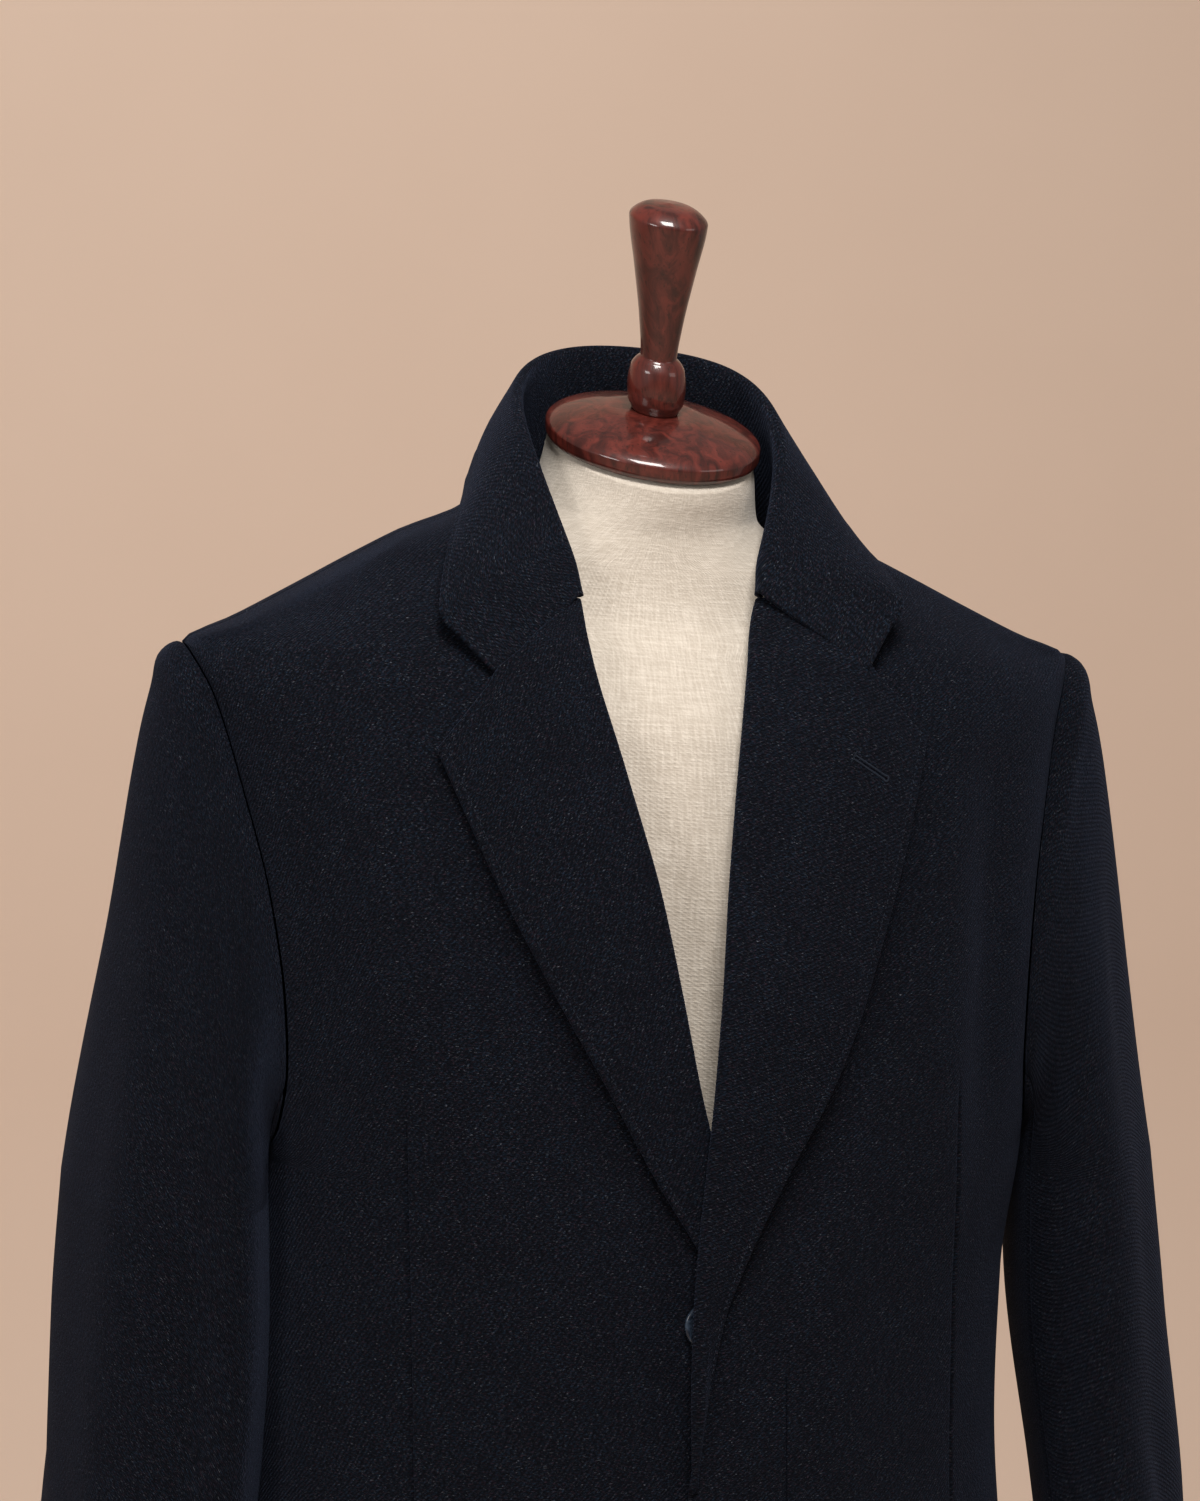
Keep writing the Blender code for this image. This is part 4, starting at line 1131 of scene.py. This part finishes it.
def make_sleeve(side, half):
    """One piece of a sleeve, mirrored for the right arm."""
    ends = {"top": (BACK_SEAM, FRONT_SEAM), "under": (FRONT_SEAM, BACK_SEAM + 360)}[half]
    close = np.degrees(EDGE_STEPS / 6.5)
    count = {"top": 60, "under": 26}[half]
    between = np.linspace(ends[0] + close[-1], ends[1] - close[-1], count)[1:-1]
    turns = np.concatenate([ends[0] + close, between, ends[1] - close[::-1]])
    turns[0] += SLEEVE_SEAM_GAP
    turns[-1] -= SLEEVE_SEAM_GAP
    outer, normals = sleeve_grid(np.radians(turns))
    note_cut(f"sleeve_{half}_{side}", outer)
    girth = np.radians((turns + 180) % 360 - 180) * 6.2
    around = np.repeat(girth[None], len(outer), 0)
    level = outer[..., 2]
    seam_far = np.minimum(turns - ends[0], ends[1] - turns) / np.degrees(1) * 6.5
    run = arc(outer, 0)
    drape = creases(SLEEVE_CREASES[side], around, level) * smooth(0.0, 5.0, run)
    head_roll = 0.26 * np.exp(-(((run - 1.3) / 0.9) ** 2)) * smooth(-14, -5, level)
    offset = drape + seam_dip(seam_far)[None] + seam_dip(run, 0.07, 0.16) + head_roll
    mirror = np.array([SIGN[side], 1, 1])
    outer = outer + normals * offset[..., None]
    inner = outer - normals * WALL
    uv = cloth_uv(outer, len(turns) // 2) * [SIGN[side], 1]
    rims = (0.0, 0.09, 0.0, 0.0)
    return cloth_shell(f"sleeve_{half}_{side}", outer * mirror, inner * mirror, uv, rims, wool)


sleeves = {(side, half): make_sleeve(side, half) for side in SIGN for half in ("top", "under")}
print("sleeves:", sum(len(s.data.polygons) for s in sleeves.values()), "faces")

# %% [markdown]
# ## Hand stitching
# Pick stitches are tiny back stitches that hold a tailored edge: each shows as a short bead of
# thread sunk in the nap. A buttonhole is a row of close loops along both sides of a slit, round an
# eye, with a bar at the far end. Both are one small rounded grain of thread, repeated: an ellipsoid
# of a few dozen faces, laid along a line on the cloth.


# %% Beads of thread along a line
def resample(points, spacing):
    """Points at even distances along a line, and their directions."""
    run = arc(points, 0)
    at = np.arange(spacing / 2, run[-1], spacing)
    behind, place, ahead = (
        np.stack([np.interp(at + shift, run, points[:, k]) for k in range(3)], -1)
        for shift in (-0.05, 0, 0.05)
    )
    return place, unit(ahead - behind)


def beads(name, places, along, out, sizes, material):
    """Ellipsoids with half sizes along, across and out, in one mesh."""
    around, across = np.meshgrid(np.linspace(0, 2 * np.pi, 7)[:-1], np.linspace(0, np.pi, 5)[1:-1])
    body = np.stack([np.cos(across), np.sin(across) * np.cos(around), np.sin(across) * np.sin(around)], -1)
    body = np.concatenate([[[1, 0, 0]], body.reshape(-1, 3), [[-1, 0, 0]]])
    ring = 1 + np.arange(18).reshape(3, 6)
    after = np.roll(ring, -1, 1)
    sides = np.stack([ring[:-1], after[:-1], after[1:], ring[1:]], -1).reshape(-1, 4)
    first = np.stack([after[0], ring[0], 0 * ring[0], 0 * ring[0]], -1)
    last = np.stack([ring[-1], after[-1], 0 * ring[0] + 19, 0 * ring[0] + 19], -1)
    quads = np.concatenate([sides, first, last])
    triangles = np.concatenate([quads[:, [0, 1, 2]], quads[:12, [0, 2, 3]]])
    out = unit(out - along * np.sum(out * along, -1, keepdims=True))
    side = np.cross(out, along)
    axes = np.stack([along * sizes[0], side * sizes[1], out * sizes[2]], 1)
    points = places[:, None] + np.einsum("pk,nkj->npj", body, axes)
    faces = triangles[None] + (np.arange(len(places)) * len(body))[:, None, None]
    return add_mesh(name, to_metres(points.reshape(-1, 3)), faces.reshape(-1, 3), material)


PICK_SPACING, PICK_SIZE = 0.36, (0.075, 0.032, 0.022)


def stitch_line(line, out, spacing):
    """Places, directions and outward directions of the stitches along one line of a grid."""
    places, along = resample(line, spacing)
    nearest = np.argmin(np.linalg.norm(places[:, None] - line[None], axis=-1), axis=1)
    return places, along, out[nearest]


def outward(grid):
    """Normals of an outer face, pointing away from the coat's middle."""
    normals = grid_normals(grid)
    away = grid * [1, 1, 0]
    return normals * np.sign(np.sum(normals * away, -1, keepdims=True))


edge_lines = []
IN_GROOVE = -6  # the line of a lapel's grid that runs in its groove, counted from its edge
for side in SIGN:
    face, out = lapel_faces[side], outward(lapel_faces[side])
    notch = int(np.argmin(np.abs(np.linspace(0, 1, face.shape[1]) - 0.72)))
    edge_lines.append(stitch_line(face[12:-5, IN_GROOVE], out[12:-5, IN_GROOVE], PICK_SPACING))
    edge_lines.append(stitch_line(face[IN_GROOVE, notch:-5], out[IN_GROOVE, notch:-5], PICK_SPACING))
collar_out = outward(collar_face)
edge_lines.append(stitch_line(collar_face[3:-3, 5], collar_out[3:-3, 5], PICK_SPACING))
places, along, out = (np.concatenate(parts) for parts in zip(*edge_lines))
pick_stitches = beads("pick_stitches", places, along, out, PICK_SIZE, thread)
print("pick stitches:", len(places))

# %% [markdown]
# ## Fly and buttonhole
# A fly front hides its buttons behind a strip of cloth, so all that shows is one long line of
# stitching, which curves in to the edge at its foot. Its stitches are coloured near black, darker
# than the cloth, which paints the shade of the groove they sit in. The keyhole buttonhole on the left
# lapel is worked by hand, with a slit, two lips of close loops, a round eye and a bar. It is made loop
# by loop from the same bead of thread, since a bump could not give loops that stand up from the cloth.
# The slit is a row of near-black beads, painted shade in the cut.


# %% Fly stitching and the lapel's buttonhole
def on_face(face, x, z):
    """The y of a face at each x and z, from its four nearest points by inverse distance."""
    flat = face.reshape(-1, 3)
    far = np.hypot(flat[None, :, 0] - np.asarray(x)[:, None], flat[None, :, 2] - np.asarray(z)[:, None])
    near = np.argsort(far, axis=1)[:, :4]
    weight = 1 / (np.take_along_axis(far, near, 1) + 1e-3) ** 2
    y = np.sum(flat[near, 1] * weight, 1) / weight.sum(1)
    return np.stack([x, y, z], -1)


FLY_X, FLY_TOP, FLY_FOOT = 4.1, -34.5, -84.0
FLY_SPACING, FLY_SIZE = 0.34, (0.16, 0.045, 0.016)
fly_z = np.linspace(FLY_TOP, FLY_FOOT, 120)
fly_x = FLY_X - 3.6 * smooth(FLY_FOOT + 6, FLY_FOOT, fly_z) ** 2
fly_line, fly_out = front_surface("left", fly_x, fly_z)
# The fly's stitches take the near-black thread, which paints the shade of the line they sink into.
fly_stitches = beads("fly_stitches", *stitch_line(fly_line, fly_out, FLY_SPACING), FLY_SIZE, painted_shade_thread)

HOLE_IN, HOLE_OUT, HOLE_HALF = np.array([8.2, -3.95]), np.array([9.75, -4.95]), 0.1
run = HOLE_OUT - HOLE_IN
length = np.hypot(*run)
run = run / length
aside = np.array([-run[1], run[0]])
steps = np.arange(0, length, 0.065)
eye = np.linspace(-0.72 * np.pi, 0.72 * np.pi, 13)
spots, ways = [], []
for lip in (-1, 1):
    spots.append(HOLE_IN + run * steps[:, None] + aside * lip * HOLE_HALF)
    ways.append(np.repeat((aside * lip)[None], len(steps), 0))
eye_way = run * np.cos(eye)[:, None] + aside * np.sin(eye)[:, None]
spots.append(HOLE_OUT + run * 0.04 + eye_way * 0.14)
ways.append(eye_way)
bar = np.linspace(-0.3, 0.3, 10)
spots.append(HOLE_IN - run * 0.06 + aside * bar[:, None])
ways.append(np.repeat(run[None], len(bar), 0))
spots, ways = np.concatenate(spots), np.concatenate(ways)
hole_places = on_face(lapel_faces["left"], spots[:, 0], spots[:, 1]) - [0, 0.02, 0]
hole_along = np.stack([ways[:, 0], 0 * ways[:, 0], ways[:, 1]], -1)
hole_out = np.repeat([[0.25, -1.0, 0.1]], len(spots), 0)
buttonhole = beads("lapel_buttonhole", hole_places, hole_along, hole_out, (0.058, 0.03, 0.045), thread)
slit_z = HOLE_IN + run * np.linspace(0.05, length + 0.1, 26)[:, None]
slit = on_face(lapel_faces["left"], slit_z[:, 0], slit_z[:, 1]) + [0, 0.015, 0]
slit_along = np.repeat([[run[0], 0, run[1]]], len(slit), 0)
# The slit is near-black beads laid along the cut: painted shade in the opening.
hole_slit = beads("lapel_slit", slit, slit_along, hole_out[: len(slit)], (0.07, 0.03, 0.03), painted_shade_thread)
print("buttonhole loops:", len(spots), "fly stitch faces:", len(fly_stitches.data.polygons))

# %% [markdown]
# ## Turned and lofted pieces
# The cap, finial, pole and base are lathe work, and the form's body is a stack of rounded sections.
# Both are rings of points skinned into a closed solid, so one helper serves them. A lathe profile is
# read along its own length, with the cubic, which gives it soft shoulders instead of corners.


# %% Rings to solids
def skin(name, rings, material, uv=None):
    """Rings of points joined row to row, with a fan of triangles at both ends."""
    count, sides = rings.shape[:2]
    index = np.arange(count * sides).reshape(count, sides)
    after = np.roll(index, -1, 1)
    walls = np.stack([index[:-1], after[:-1], after[1:], index[1:]], -1).reshape(-1, 4)
    triangles = np.concatenate([walls[:, [0, 1, 2]], walls[:, [0, 2, 3]]])
    ends = count * sides + np.array([0, 1])
    first = np.stack([after[0], index[0], np.full(sides, ends[0])], -1)
    last = np.stack([index[-1], after[-1], np.full(sides, ends[1])], -1)
    points = np.concatenate([rings.reshape(-1, 3), rings[0].mean(0)[None], rings[-1].mean(0)[None]])
    if uv is not None:
        uv = np.concatenate([uv.reshape(-1, 2), uv[0].mean(0)[None], uv[-1].mean(0)[None]])
    return add_mesh(name, to_metres(points), np.concatenate([triangles, first, last]), material, uv)


def turned(name, profile, origin, material, tilt=0.0, side_lean=0.0, sides=96, steps=140):
    """A profile of (height, radius) read by its own length and turned about a leaning axis."""
    profile = np.array(profile, float)
    run = np.concatenate([[0], np.cumsum(np.hypot(*np.diff(profile, axis=0).T))])
    source = {"run": run, "height": profile[:, 0], "radius": profile[:, 1]}
    at = np.unique(np.concatenate([np.linspace(0, run[-1], steps), run]))
    height, radius = read(source, "height", at, "run"), read(source, "radius", at, "run")
    radius = np.maximum(radius, 0.02)
    axis = unit(np.array([np.tan(np.radians(side_lean)), -np.tan(np.radians(tilt)), 1.0]))
    across = unit(np.cross([0, 1, 0], axis))
    turn = np.linspace(0, 2 * np.pi, sides, endpoint=False)
    circle = np.outer(np.cos(turn), across) + np.outer(np.sin(turn), np.cross(axis, across))
    rings = np.array(origin) + axis * height[:, None, None] + circle[None] * radius[:, None, None]
    return skin(name, rings, material)


print("lathe ready")

# %% [markdown]
# ## Linen and lacquered wood
# The form is covered in cream linen with visible slubs, woven on the slant. The wood is mahogany
# under gloss lacquer: a deep red brown with dark pores drawn out along the grain, and a clear coat
# that the lights mirror in.

# %% The grain group and the form's materials
grain, enter, leave = new_group(
    "wood_grain",
    [("Vector", "v", None), ("Stretch", "v", (90.0, 90.0, 6.0)), ("Dark", "c", None), ("Light", "c", None)],
    [("Color", "c"), ("Pores", "f")],
)
PORE = (0.008, 0.003, 0.002, 1)
long_way = mapping(grain, enter.outputs["Vector"], enter.outputs["Stretch"])
bands = noise(grain, long_way, 1.3, 5.0, 0.6, 1.2)
pores = ramp(grain, noise(grain, long_way, 9.0), 0.58, 0.72)
warm = mix(grain, ramp(grain, bands, 0.3, 0.72), enter.outputs["Dark"], enter.outputs["Light"])
link(grain, mix(grain, times(grain, pores, 0.6), warm, PORE), leave.inputs["Color"])
link(grain, pores, leave.inputs["Pores"])


def make_wood(name, dark, light):
    """Lacquered wood over Object coordinates."""
    lacquer = {"Coat_Weight": 0.7, "Coat_Roughness": 0.08}
    material, tree, shader = new_material(name, Roughness=0.42, Specular_IOR_Level=0.2, **lacquer)
    made = group_node(tree, grain, Vector=object_place(tree), Dark=dark, Light=light)
    link(tree, made.outputs["Color"], shader.inputs["Base Color"])
    add_bump(tree, shader, made.outputs["Pores"], 0.25, 0.0002, invert=True)
    return material


def make_linen(name):
    """Two sets of slubs, one along each yarn direction, and the twill's ribs over them, lighter on their
    crests as painted highlight.
    """
    material, tree, shader = new_material(name, Roughness=0.85, Sheen_Weight=0.15, Sheen_Roughness=0.5)
    uv = cloth_place(tree)
    weave = group_node(tree, twill, UV=uv, Pitch=0.0022, Slope=0.9, Fuzz=0.4)
    slubs = [
        ramp(tree, noise(tree, mapping(tree, uv, stretch), 900.0, 2.0, 0.6), 0.35, 0.75)
        for stretch in ((1, 0.08, 1), (0.08, 1, 1))
    ]
    yarn = times(tree, plus(tree, *slubs), 0.5)
    cream = mix(tree, yarn, (0.38, 0.33, 0.275, 1), (0.56, 0.505, 0.44, 1))
    # Painted highlight: the cream is lightened on the crests of the twill's ribs.
    cream = mix(tree, times(tree, weave.outputs["Rib"], 0.25), cream, (0.62, 0.57, 0.49, 1))
    link(tree, cream, shader.inputs["Base Color"])
    add_bump(tree, shader, plus(tree, times(tree, yarn, 0.7), weave.outputs["Height"]), 0.5, 0.0006)
    return material


mahogany = make_wood("mahogany", (0.024, 0.0042, 0.0032, 1), (0.098, 0.0165, 0.0115, 1))
linen = make_linen("linen")
print("materials so far:", [m.name for m in bpy.data.materials])

# %% [markdown]
# ## The dress form
# Its body is limbless, and the coat touches it only along the shoulders. The neck leans with its
# cap.

# %% Form body
FORM = table(
    "height half_width front back squareness",
    [
        (-64.0, 15.6, 9.8, 10.2, 2.2),
        (-62.5, 16.8, 10.6, 11.2, 2.2),
        (-55.0, 17.4, 10.8, 11.6, 2.2),
        (-40.0, 14.6, 9.4, 9.2, 2.2),
        (-25.0, 17.0, 10.4, 10.6, 2.3),
        (-12.0, 18.2, 10.0, 10.8, 2.3),
        (-4.0, 18.9, 9.0, 9.4, 2.2),
        (0.2, 18.3, 7.0, 8.0, 2.0),
        (1.2, 17.6, 6.3, 7.4, 2.0),
        (2.0, 16.6, 5.9, 7.1, 2.0),
        (3.4, 13.7, 5.6, 6.9, 2.0),
        (4.8, 10.6, 5.5, 6.3, 2.0),
        (5.8, 7.9, 5.5, 5.7, 2.0),
        (7.2, 5.9, 5.7, 5.1, 2.0),
        (10.2, 5.2, 6.0, 4.5, 2.0),
    ],
)
CAP_CENTRE, CAP_TILT, CAP_LEAN = np.array([0.75, -0.75, 10.75]), 19.0, -1.0
REST_LOW, REST_HIGH, REST_INSET = 0.8, 5.0, 0.76


def form_size(name, height):
    """A form section, with the shoulder ridge kept a set distance inside the coat's."""
    value = read(FORM, name, height)
    if name != "half_width":
        return value
    carries = smooth(REST_LOW - 0.6, REST_LOW + 0.4, height)
    carries = carries * (1 - smooth(REST_HIGH - 0.8, REST_HIGH, height))
    return value + (section("half_width", height) - REST_INSET - value) * carries


form_spans = [np.linspace(-64, -4, 90), np.linspace(-4, 6, 70)[1:], np.linspace(6, 10.2, 30)[1:]]
form_heights = np.concatenate(form_spans)
angle, level = np.meshgrid(np.linspace(-np.pi, np.pi, 128, endpoint=False), form_heights)
power = 2 / form_size("squareness", level)
across, along_y = np.sin(angle), np.cos(angle)
form_x = form_size("half_width", level) * np.sign(across) * np.abs(across) ** power
form_depth = np.where(along_y > 0, -form_size("front", level), form_size("back", level))
form_y = form_depth * np.abs(along_y) ** power
neck = smooth(4.5, 10.2, level)
form_x = form_x + CAP_CENTRE[0] * neck
cut = np.tan(np.radians(CAP_TILT)) * (form_y - CAP_CENTRE[1])
cut = cut - np.tan(np.radians(CAP_LEAN)) * (form_x - CAP_CENTRE[0])
form_z = level + cut * neck**2 - 0.12 * neck
form_rings = np.stack([form_x, form_y, form_z], -1)
form_uv = np.stack([angle * 0.16, form_z * CM], -1)
form_torso = skin("form_body", form_rings, linen, form_uv)
print("form body:", len(form_torso.data.polygons), "faces")

# %% [markdown]
# ## Turned wood
# The cap, the finial with its knob and handle, the pole and the base are all shaped on a lathe, so
# each is a short profile of height and radius, turned about an axis. The cap and finial lean with the
# neck. Pairs of close points keep an edge crisp where the turner's tool would leave one.

# %% Cap, finial, pole and base
CAP_PROFILE = [
    (-0.55, 0.0), (-0.55, 4.7), (-0.45, 5.2), (-0.1, 5.45), (0.3, 5.45), (0.6, 5.2),
    (0.95, 4.4), (1.3, 3.1), (1.5, 2.0), (1.55, 0.0),
]
FINIAL_PROFILE = [
    (1.54, 0.0), (1.54, 1.15), (1.75, 1.25), (2.1, 1.42), (2.9, 1.48), (3.8, 1.36), (4.2, 1.12),
    (4.4, 0.92), (6.2, 1.1), (9.0, 1.55), (11.1, 1.92), (11.5, 1.95), (11.8, 1.75),
    (12.15, 1.15), (12.3, 0.0),
]
POLE_PROFILE = [(2.65, 0.0), (2.65, 1.9), (5.0, 1.7), (40.0, 1.6), (77.96, 1.6), (77.96, 0.0)]
BASE_PROFILE = [
    (0.0, 0.0), (0.0, 18.5), (0.5, 19.0), (1.3, 18.6), (2.0, 15.5), (2.4, 8.0), (2.6, 3.2), (2.6, 0.0),
]
FLOOR = np.array([0.0, 0.0, -SHOULDER_HEIGHT / CM])
neck_cap = turned("cap_turned", CAP_PROFILE, CAP_CENTRE, mahogany, CAP_TILT, CAP_LEAN)
finial = turned("finial_turned", FINIAL_PROFILE, CAP_CENTRE, mahogany, CAP_TILT, CAP_LEAN)
pole = turned("pole_turned", POLE_PROFILE, FLOOR, mahogany, sides=64, steps=60)
base = turned("base_turned", BASE_PROFILE, FLOOR, mahogany, sides=128)
print("stand:", sum(len(o.data.polygons) for o in (neck_cap, finial, pole, base)), "faces")

# %% [markdown]
# ## The button
# The fly hides the buttons, and only the top one peeks out past the left front's edge. It is
# polished dark horn, with a raised rim, a dished face and thread through its eyes.

# %% Button
horn, horn_tree, horn_shader = new_material(
    "dark_horn", Roughness=0.22, Coat_Weight=0.0, Specular_IOR_Level=0.35
)
streak = ramp(horn_tree, noise(horn_tree, object_place(horn_tree), 160.0, 4.0, 0.6, 1.5), 0.4, 0.7)
streaked = mix(horn_tree, streak, (0.006, 0.009, 0.016, 1), (0.030, 0.045, 0.070, 1))
link(horn_tree, streaked, horn_shader.inputs["Base Color"])
BUTTON_X, BUTTON_Z, BUTTON_RADIUS, BUTTON_ABOVE = 0.25, -31.9, 1.15, 0.09
point, normal = front_surface("right", np.array([-BUTTON_X]), np.array([BUTTON_Z]))
point, normal = point[0], normal[0]
side_way = unit(np.cross(normal, [0, 0, 1]))
up_way = np.cross(side_way, normal)
BUTTON_PROFILE = [
    (0.0, 0.3), (0.0, 0.8), (0.05, 0.95), (0.12, 1.0), (0.2, 0.99), (0.25, 0.93),
    (0.26, 0.86), (0.24, 0.78), (0.19, 0.68), (0.18, 0.3),
]
turn = np.linspace(0, 2 * np.pi, 64, endpoint=False)
disc = np.outer(np.cos(turn), side_way) + np.outer(np.sin(turn), up_way)
button_rings = np.array(
    [point + normal * (BUTTON_ABOVE + h) + disc * BUTTON_RADIUS * r for h, r in BUTTON_PROFILE]
)
button = skin("horn_button", button_rings, horn)
eyes = np.array([[-1, -1], [1, -1], [1, 1], [-1, 1]]) * 0.17
eye_places = point + normal * (BUTTON_ABOVE + 0.2) + (eyes[:, :1] * side_way + eyes[:, 1:] * up_way)
eye_along = unit(np.repeat([side_way + up_way], 4, 0) * np.array([1, -1, 1, -1])[:, None] + 0.2 * normal)
eye_out = np.repeat([normal], 4, 0)
button_thread = beads("button_thread", eye_places, eye_along, eye_out, (0.2, 0.05, 0.05), thread)
print("button at", np.round(point, 2))

# %% [markdown]
# ## Each piece on the frame
# Every piece rides on the one body and stands for its CAD node, which it hides. Each cloth
# piece's cut size is printed beside its area now. That size is measured on the piece's own grid,
# so it says nothing about whether the tables are right.


# %% Rides and cut sizes
def dress(piece, node):
    """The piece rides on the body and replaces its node."""
    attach(piece, "root")
    if node:
        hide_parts(node)


def cloth_area(piece):
    """Half of the shell's area: one face of the cloth, in square metres."""
    return sum(p.area for p in piece.data.polygons) / 2


cloth = {}
for kind, made in (("front", fronts), ("back", backs), ("lapel", lapels)):
    cloth |= {f"{kind}_{side}": made[side] for side in SIGN}
cloth |= {f"sleeve_{half}_{side}": sleeves[side, half] for side in SIGN for half in ("top", "under")}
cloth["collar"] = collar
for node, piece in cloth.items():
    piece.name = node + "_cloth"
    dress(piece, node)
    width, length, area = CUT[node]
    if node.startswith(("front", "back")):
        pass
    elif node == "collar":
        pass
    else:
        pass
    print(f"{piece.name}: cut {width:.3f} x {length:.3f} m, {area:.4f} m2, now {cloth_area(piece):.4f} m2")
for piece, node, name in (
    (form_torso, "form_torso", "linen"),
    (neck_cap, "neck_cap", "mahogany"),
    (finial, "finial", "mahogany"),
    (pole, "pole", "mahogany"),
    (base, "base", "mahogany"),
    (button, "button", "dark_horn"),
):
    dress(piece, node)
for stitching in (pick_stitches, fly_stitches, buttonhole, hole_slit, button_thread):
    dress(stitching, None)

# %% [markdown]
# ## Floor and backdrop
# A warm beige sweep stands behind: floor and wall are one sheet with a wide bend, and the soft
# bend hides the line where they meet, as a paper roll does in a studio.

# %% Sweep
sweep_paint, sweep_tree, sweep_shader = new_material("sweep_paint", Roughness=0.95, Specular_IOR_Level=0.1)
mottle = noise(sweep_tree, object_place(sweep_tree), 3.0, 3.0)
beige = mix(sweep_tree, mottle, (0.64, 0.495, 0.402, 1), (0.68, 0.532, 0.436, 1))
link(sweep_tree, beige, sweep_shader.inputs["Base Color"])
BEND, WALL_AT, SWEEP_HALF = 0.8, 2.0, 4.0
corner = np.linspace(0, np.pi / 2, 24)
sweep_y = np.concatenate([[-5.0, 0.0], WALL_AT - BEND + BEND * np.sin(corner), [WALL_AT]])
sweep_z = np.concatenate([[0.0, 0.0], BEND - BEND * np.cos(corner), [4.0]])
sweep_points = np.array([(x, y, z) for x in (-SWEEP_HALF, SWEEP_HALF) for y, z in zip(sweep_y, sweep_z)])
lines = len(sweep_y)
low = np.arange(lines - 1)
sweep_faces = np.stack([low, low + lines, low + lines + 1, low + 1], -1)
sweep_mesh = bpy.data.meshes.new("sweep")
sweep_mesh.from_pydata(sweep_points.tolist(), [], sweep_faces.tolist())
sweep_mesh.shade_smooth()
sweep_mesh.materials.append(sweep_paint)
sweep = bpy.data.objects.new("sweep", sweep_mesh)
bpy.context.scene.collection.objects.link(sweep)
print("sweep:", lines, "lines")

# %% [markdown]
# ## Light
# Navy wool gives back almost nothing, so it is the light that shows its shape. Large square area
# lights stand in for soft boxes: a high one in front lights the shoulders, one from the side rounds
# the chest, and a weak one on the other side keeps the dark side readable. A sky picture could do
# this as well, but four named lights are easier to move.

# %% Lights and world
from mathutils import Vector


def soft_light(name, place, target, size, power, colour):
    """A large square area light aimed at a point."""
    data = bpy.data.lights.new(name, "AREA")
    data.shape, data.size, data.energy, data.color = "SQUARE", size, power, colour
    lamp = bpy.data.objects.new(name, data)
    lamp.location = place
    lamp.rotation_euler = (Vector(target) - Vector(place)).to_track_quat("-Z", "Y").to_euler()
    bpy.context.scene.collection.objects.link(lamp)
    return lamp


CHEST = (0.0, 0.0, 1.25)
soft_light("key_above", (-0.15, -1.35, 3.05), (0.0, 0.0, 1.35), 0.8, 64.0, (1.0, 0.97, 0.93))
soft_light("side_left", (-2.4, -1.7, 1.9), CHEST, 1.0, 34.0, (1.0, 0.97, 0.94))
soft_light("fill_right", (2.3, -1.9, 1.9), CHEST, 1.4, 11.0, (1.0, 0.96, 0.92))
top_light = soft_light("top_back", (0.3, 1.1, 3.1), CHEST, 1.4, 9.0, (1.0, 0.97, 0.94))
top_light.visible_glossy = False  # the lacquered cap would mirror it as a white sheet
world = bpy.data.worlds.new("room")
world.use_nodes = True
world.node_tree.nodes["Background"].inputs["Color"].default_value = (1.0, 0.93, 0.86, 1)
world.node_tree.nodes["Background"].inputs["Strength"].default_value = 0.27
bpy.context.scene.world = world
bpy.context.scene.view_settings.view_transform = "Standard"

# %% [markdown]
# ## Camera
# A close view of the upper coat, from a little to one side and slightly above the chest, through a long
# lens, so that the lapels keep their proportions.

# %% Camera
CAMERA_PLACE = (-0.4539, -1.7520, SHOULDER_HEIGHT + 0.1573)
CAMERA_YAW, CAMERA_PITCH = np.radians(13.97), np.radians(6.62)
camera_data = bpy.data.cameras.new("camera")
camera_data.sensor_fit, camera_data.sensor_height, camera_data.lens = "VERTICAL", 36.0, 85.2
camera = bpy.data.objects.new("camera", camera_data)
camera.location = CAMERA_PLACE
level_reach = np.cos(CAMERA_PITCH)
look_x, look_y = np.sin(CAMERA_YAW) * level_reach, np.cos(CAMERA_YAW) * level_reach
look = Vector([float(v) for v in (look_x, look_y, -np.sin(CAMERA_PITCH))])
camera.rotation_euler = look.to_track_quat("-Z", "Y").to_euler()
bpy.context.scene.collection.objects.link(camera)
bpy.context.scene.camera = camera
print("camera at", CAMERA_PLACE)
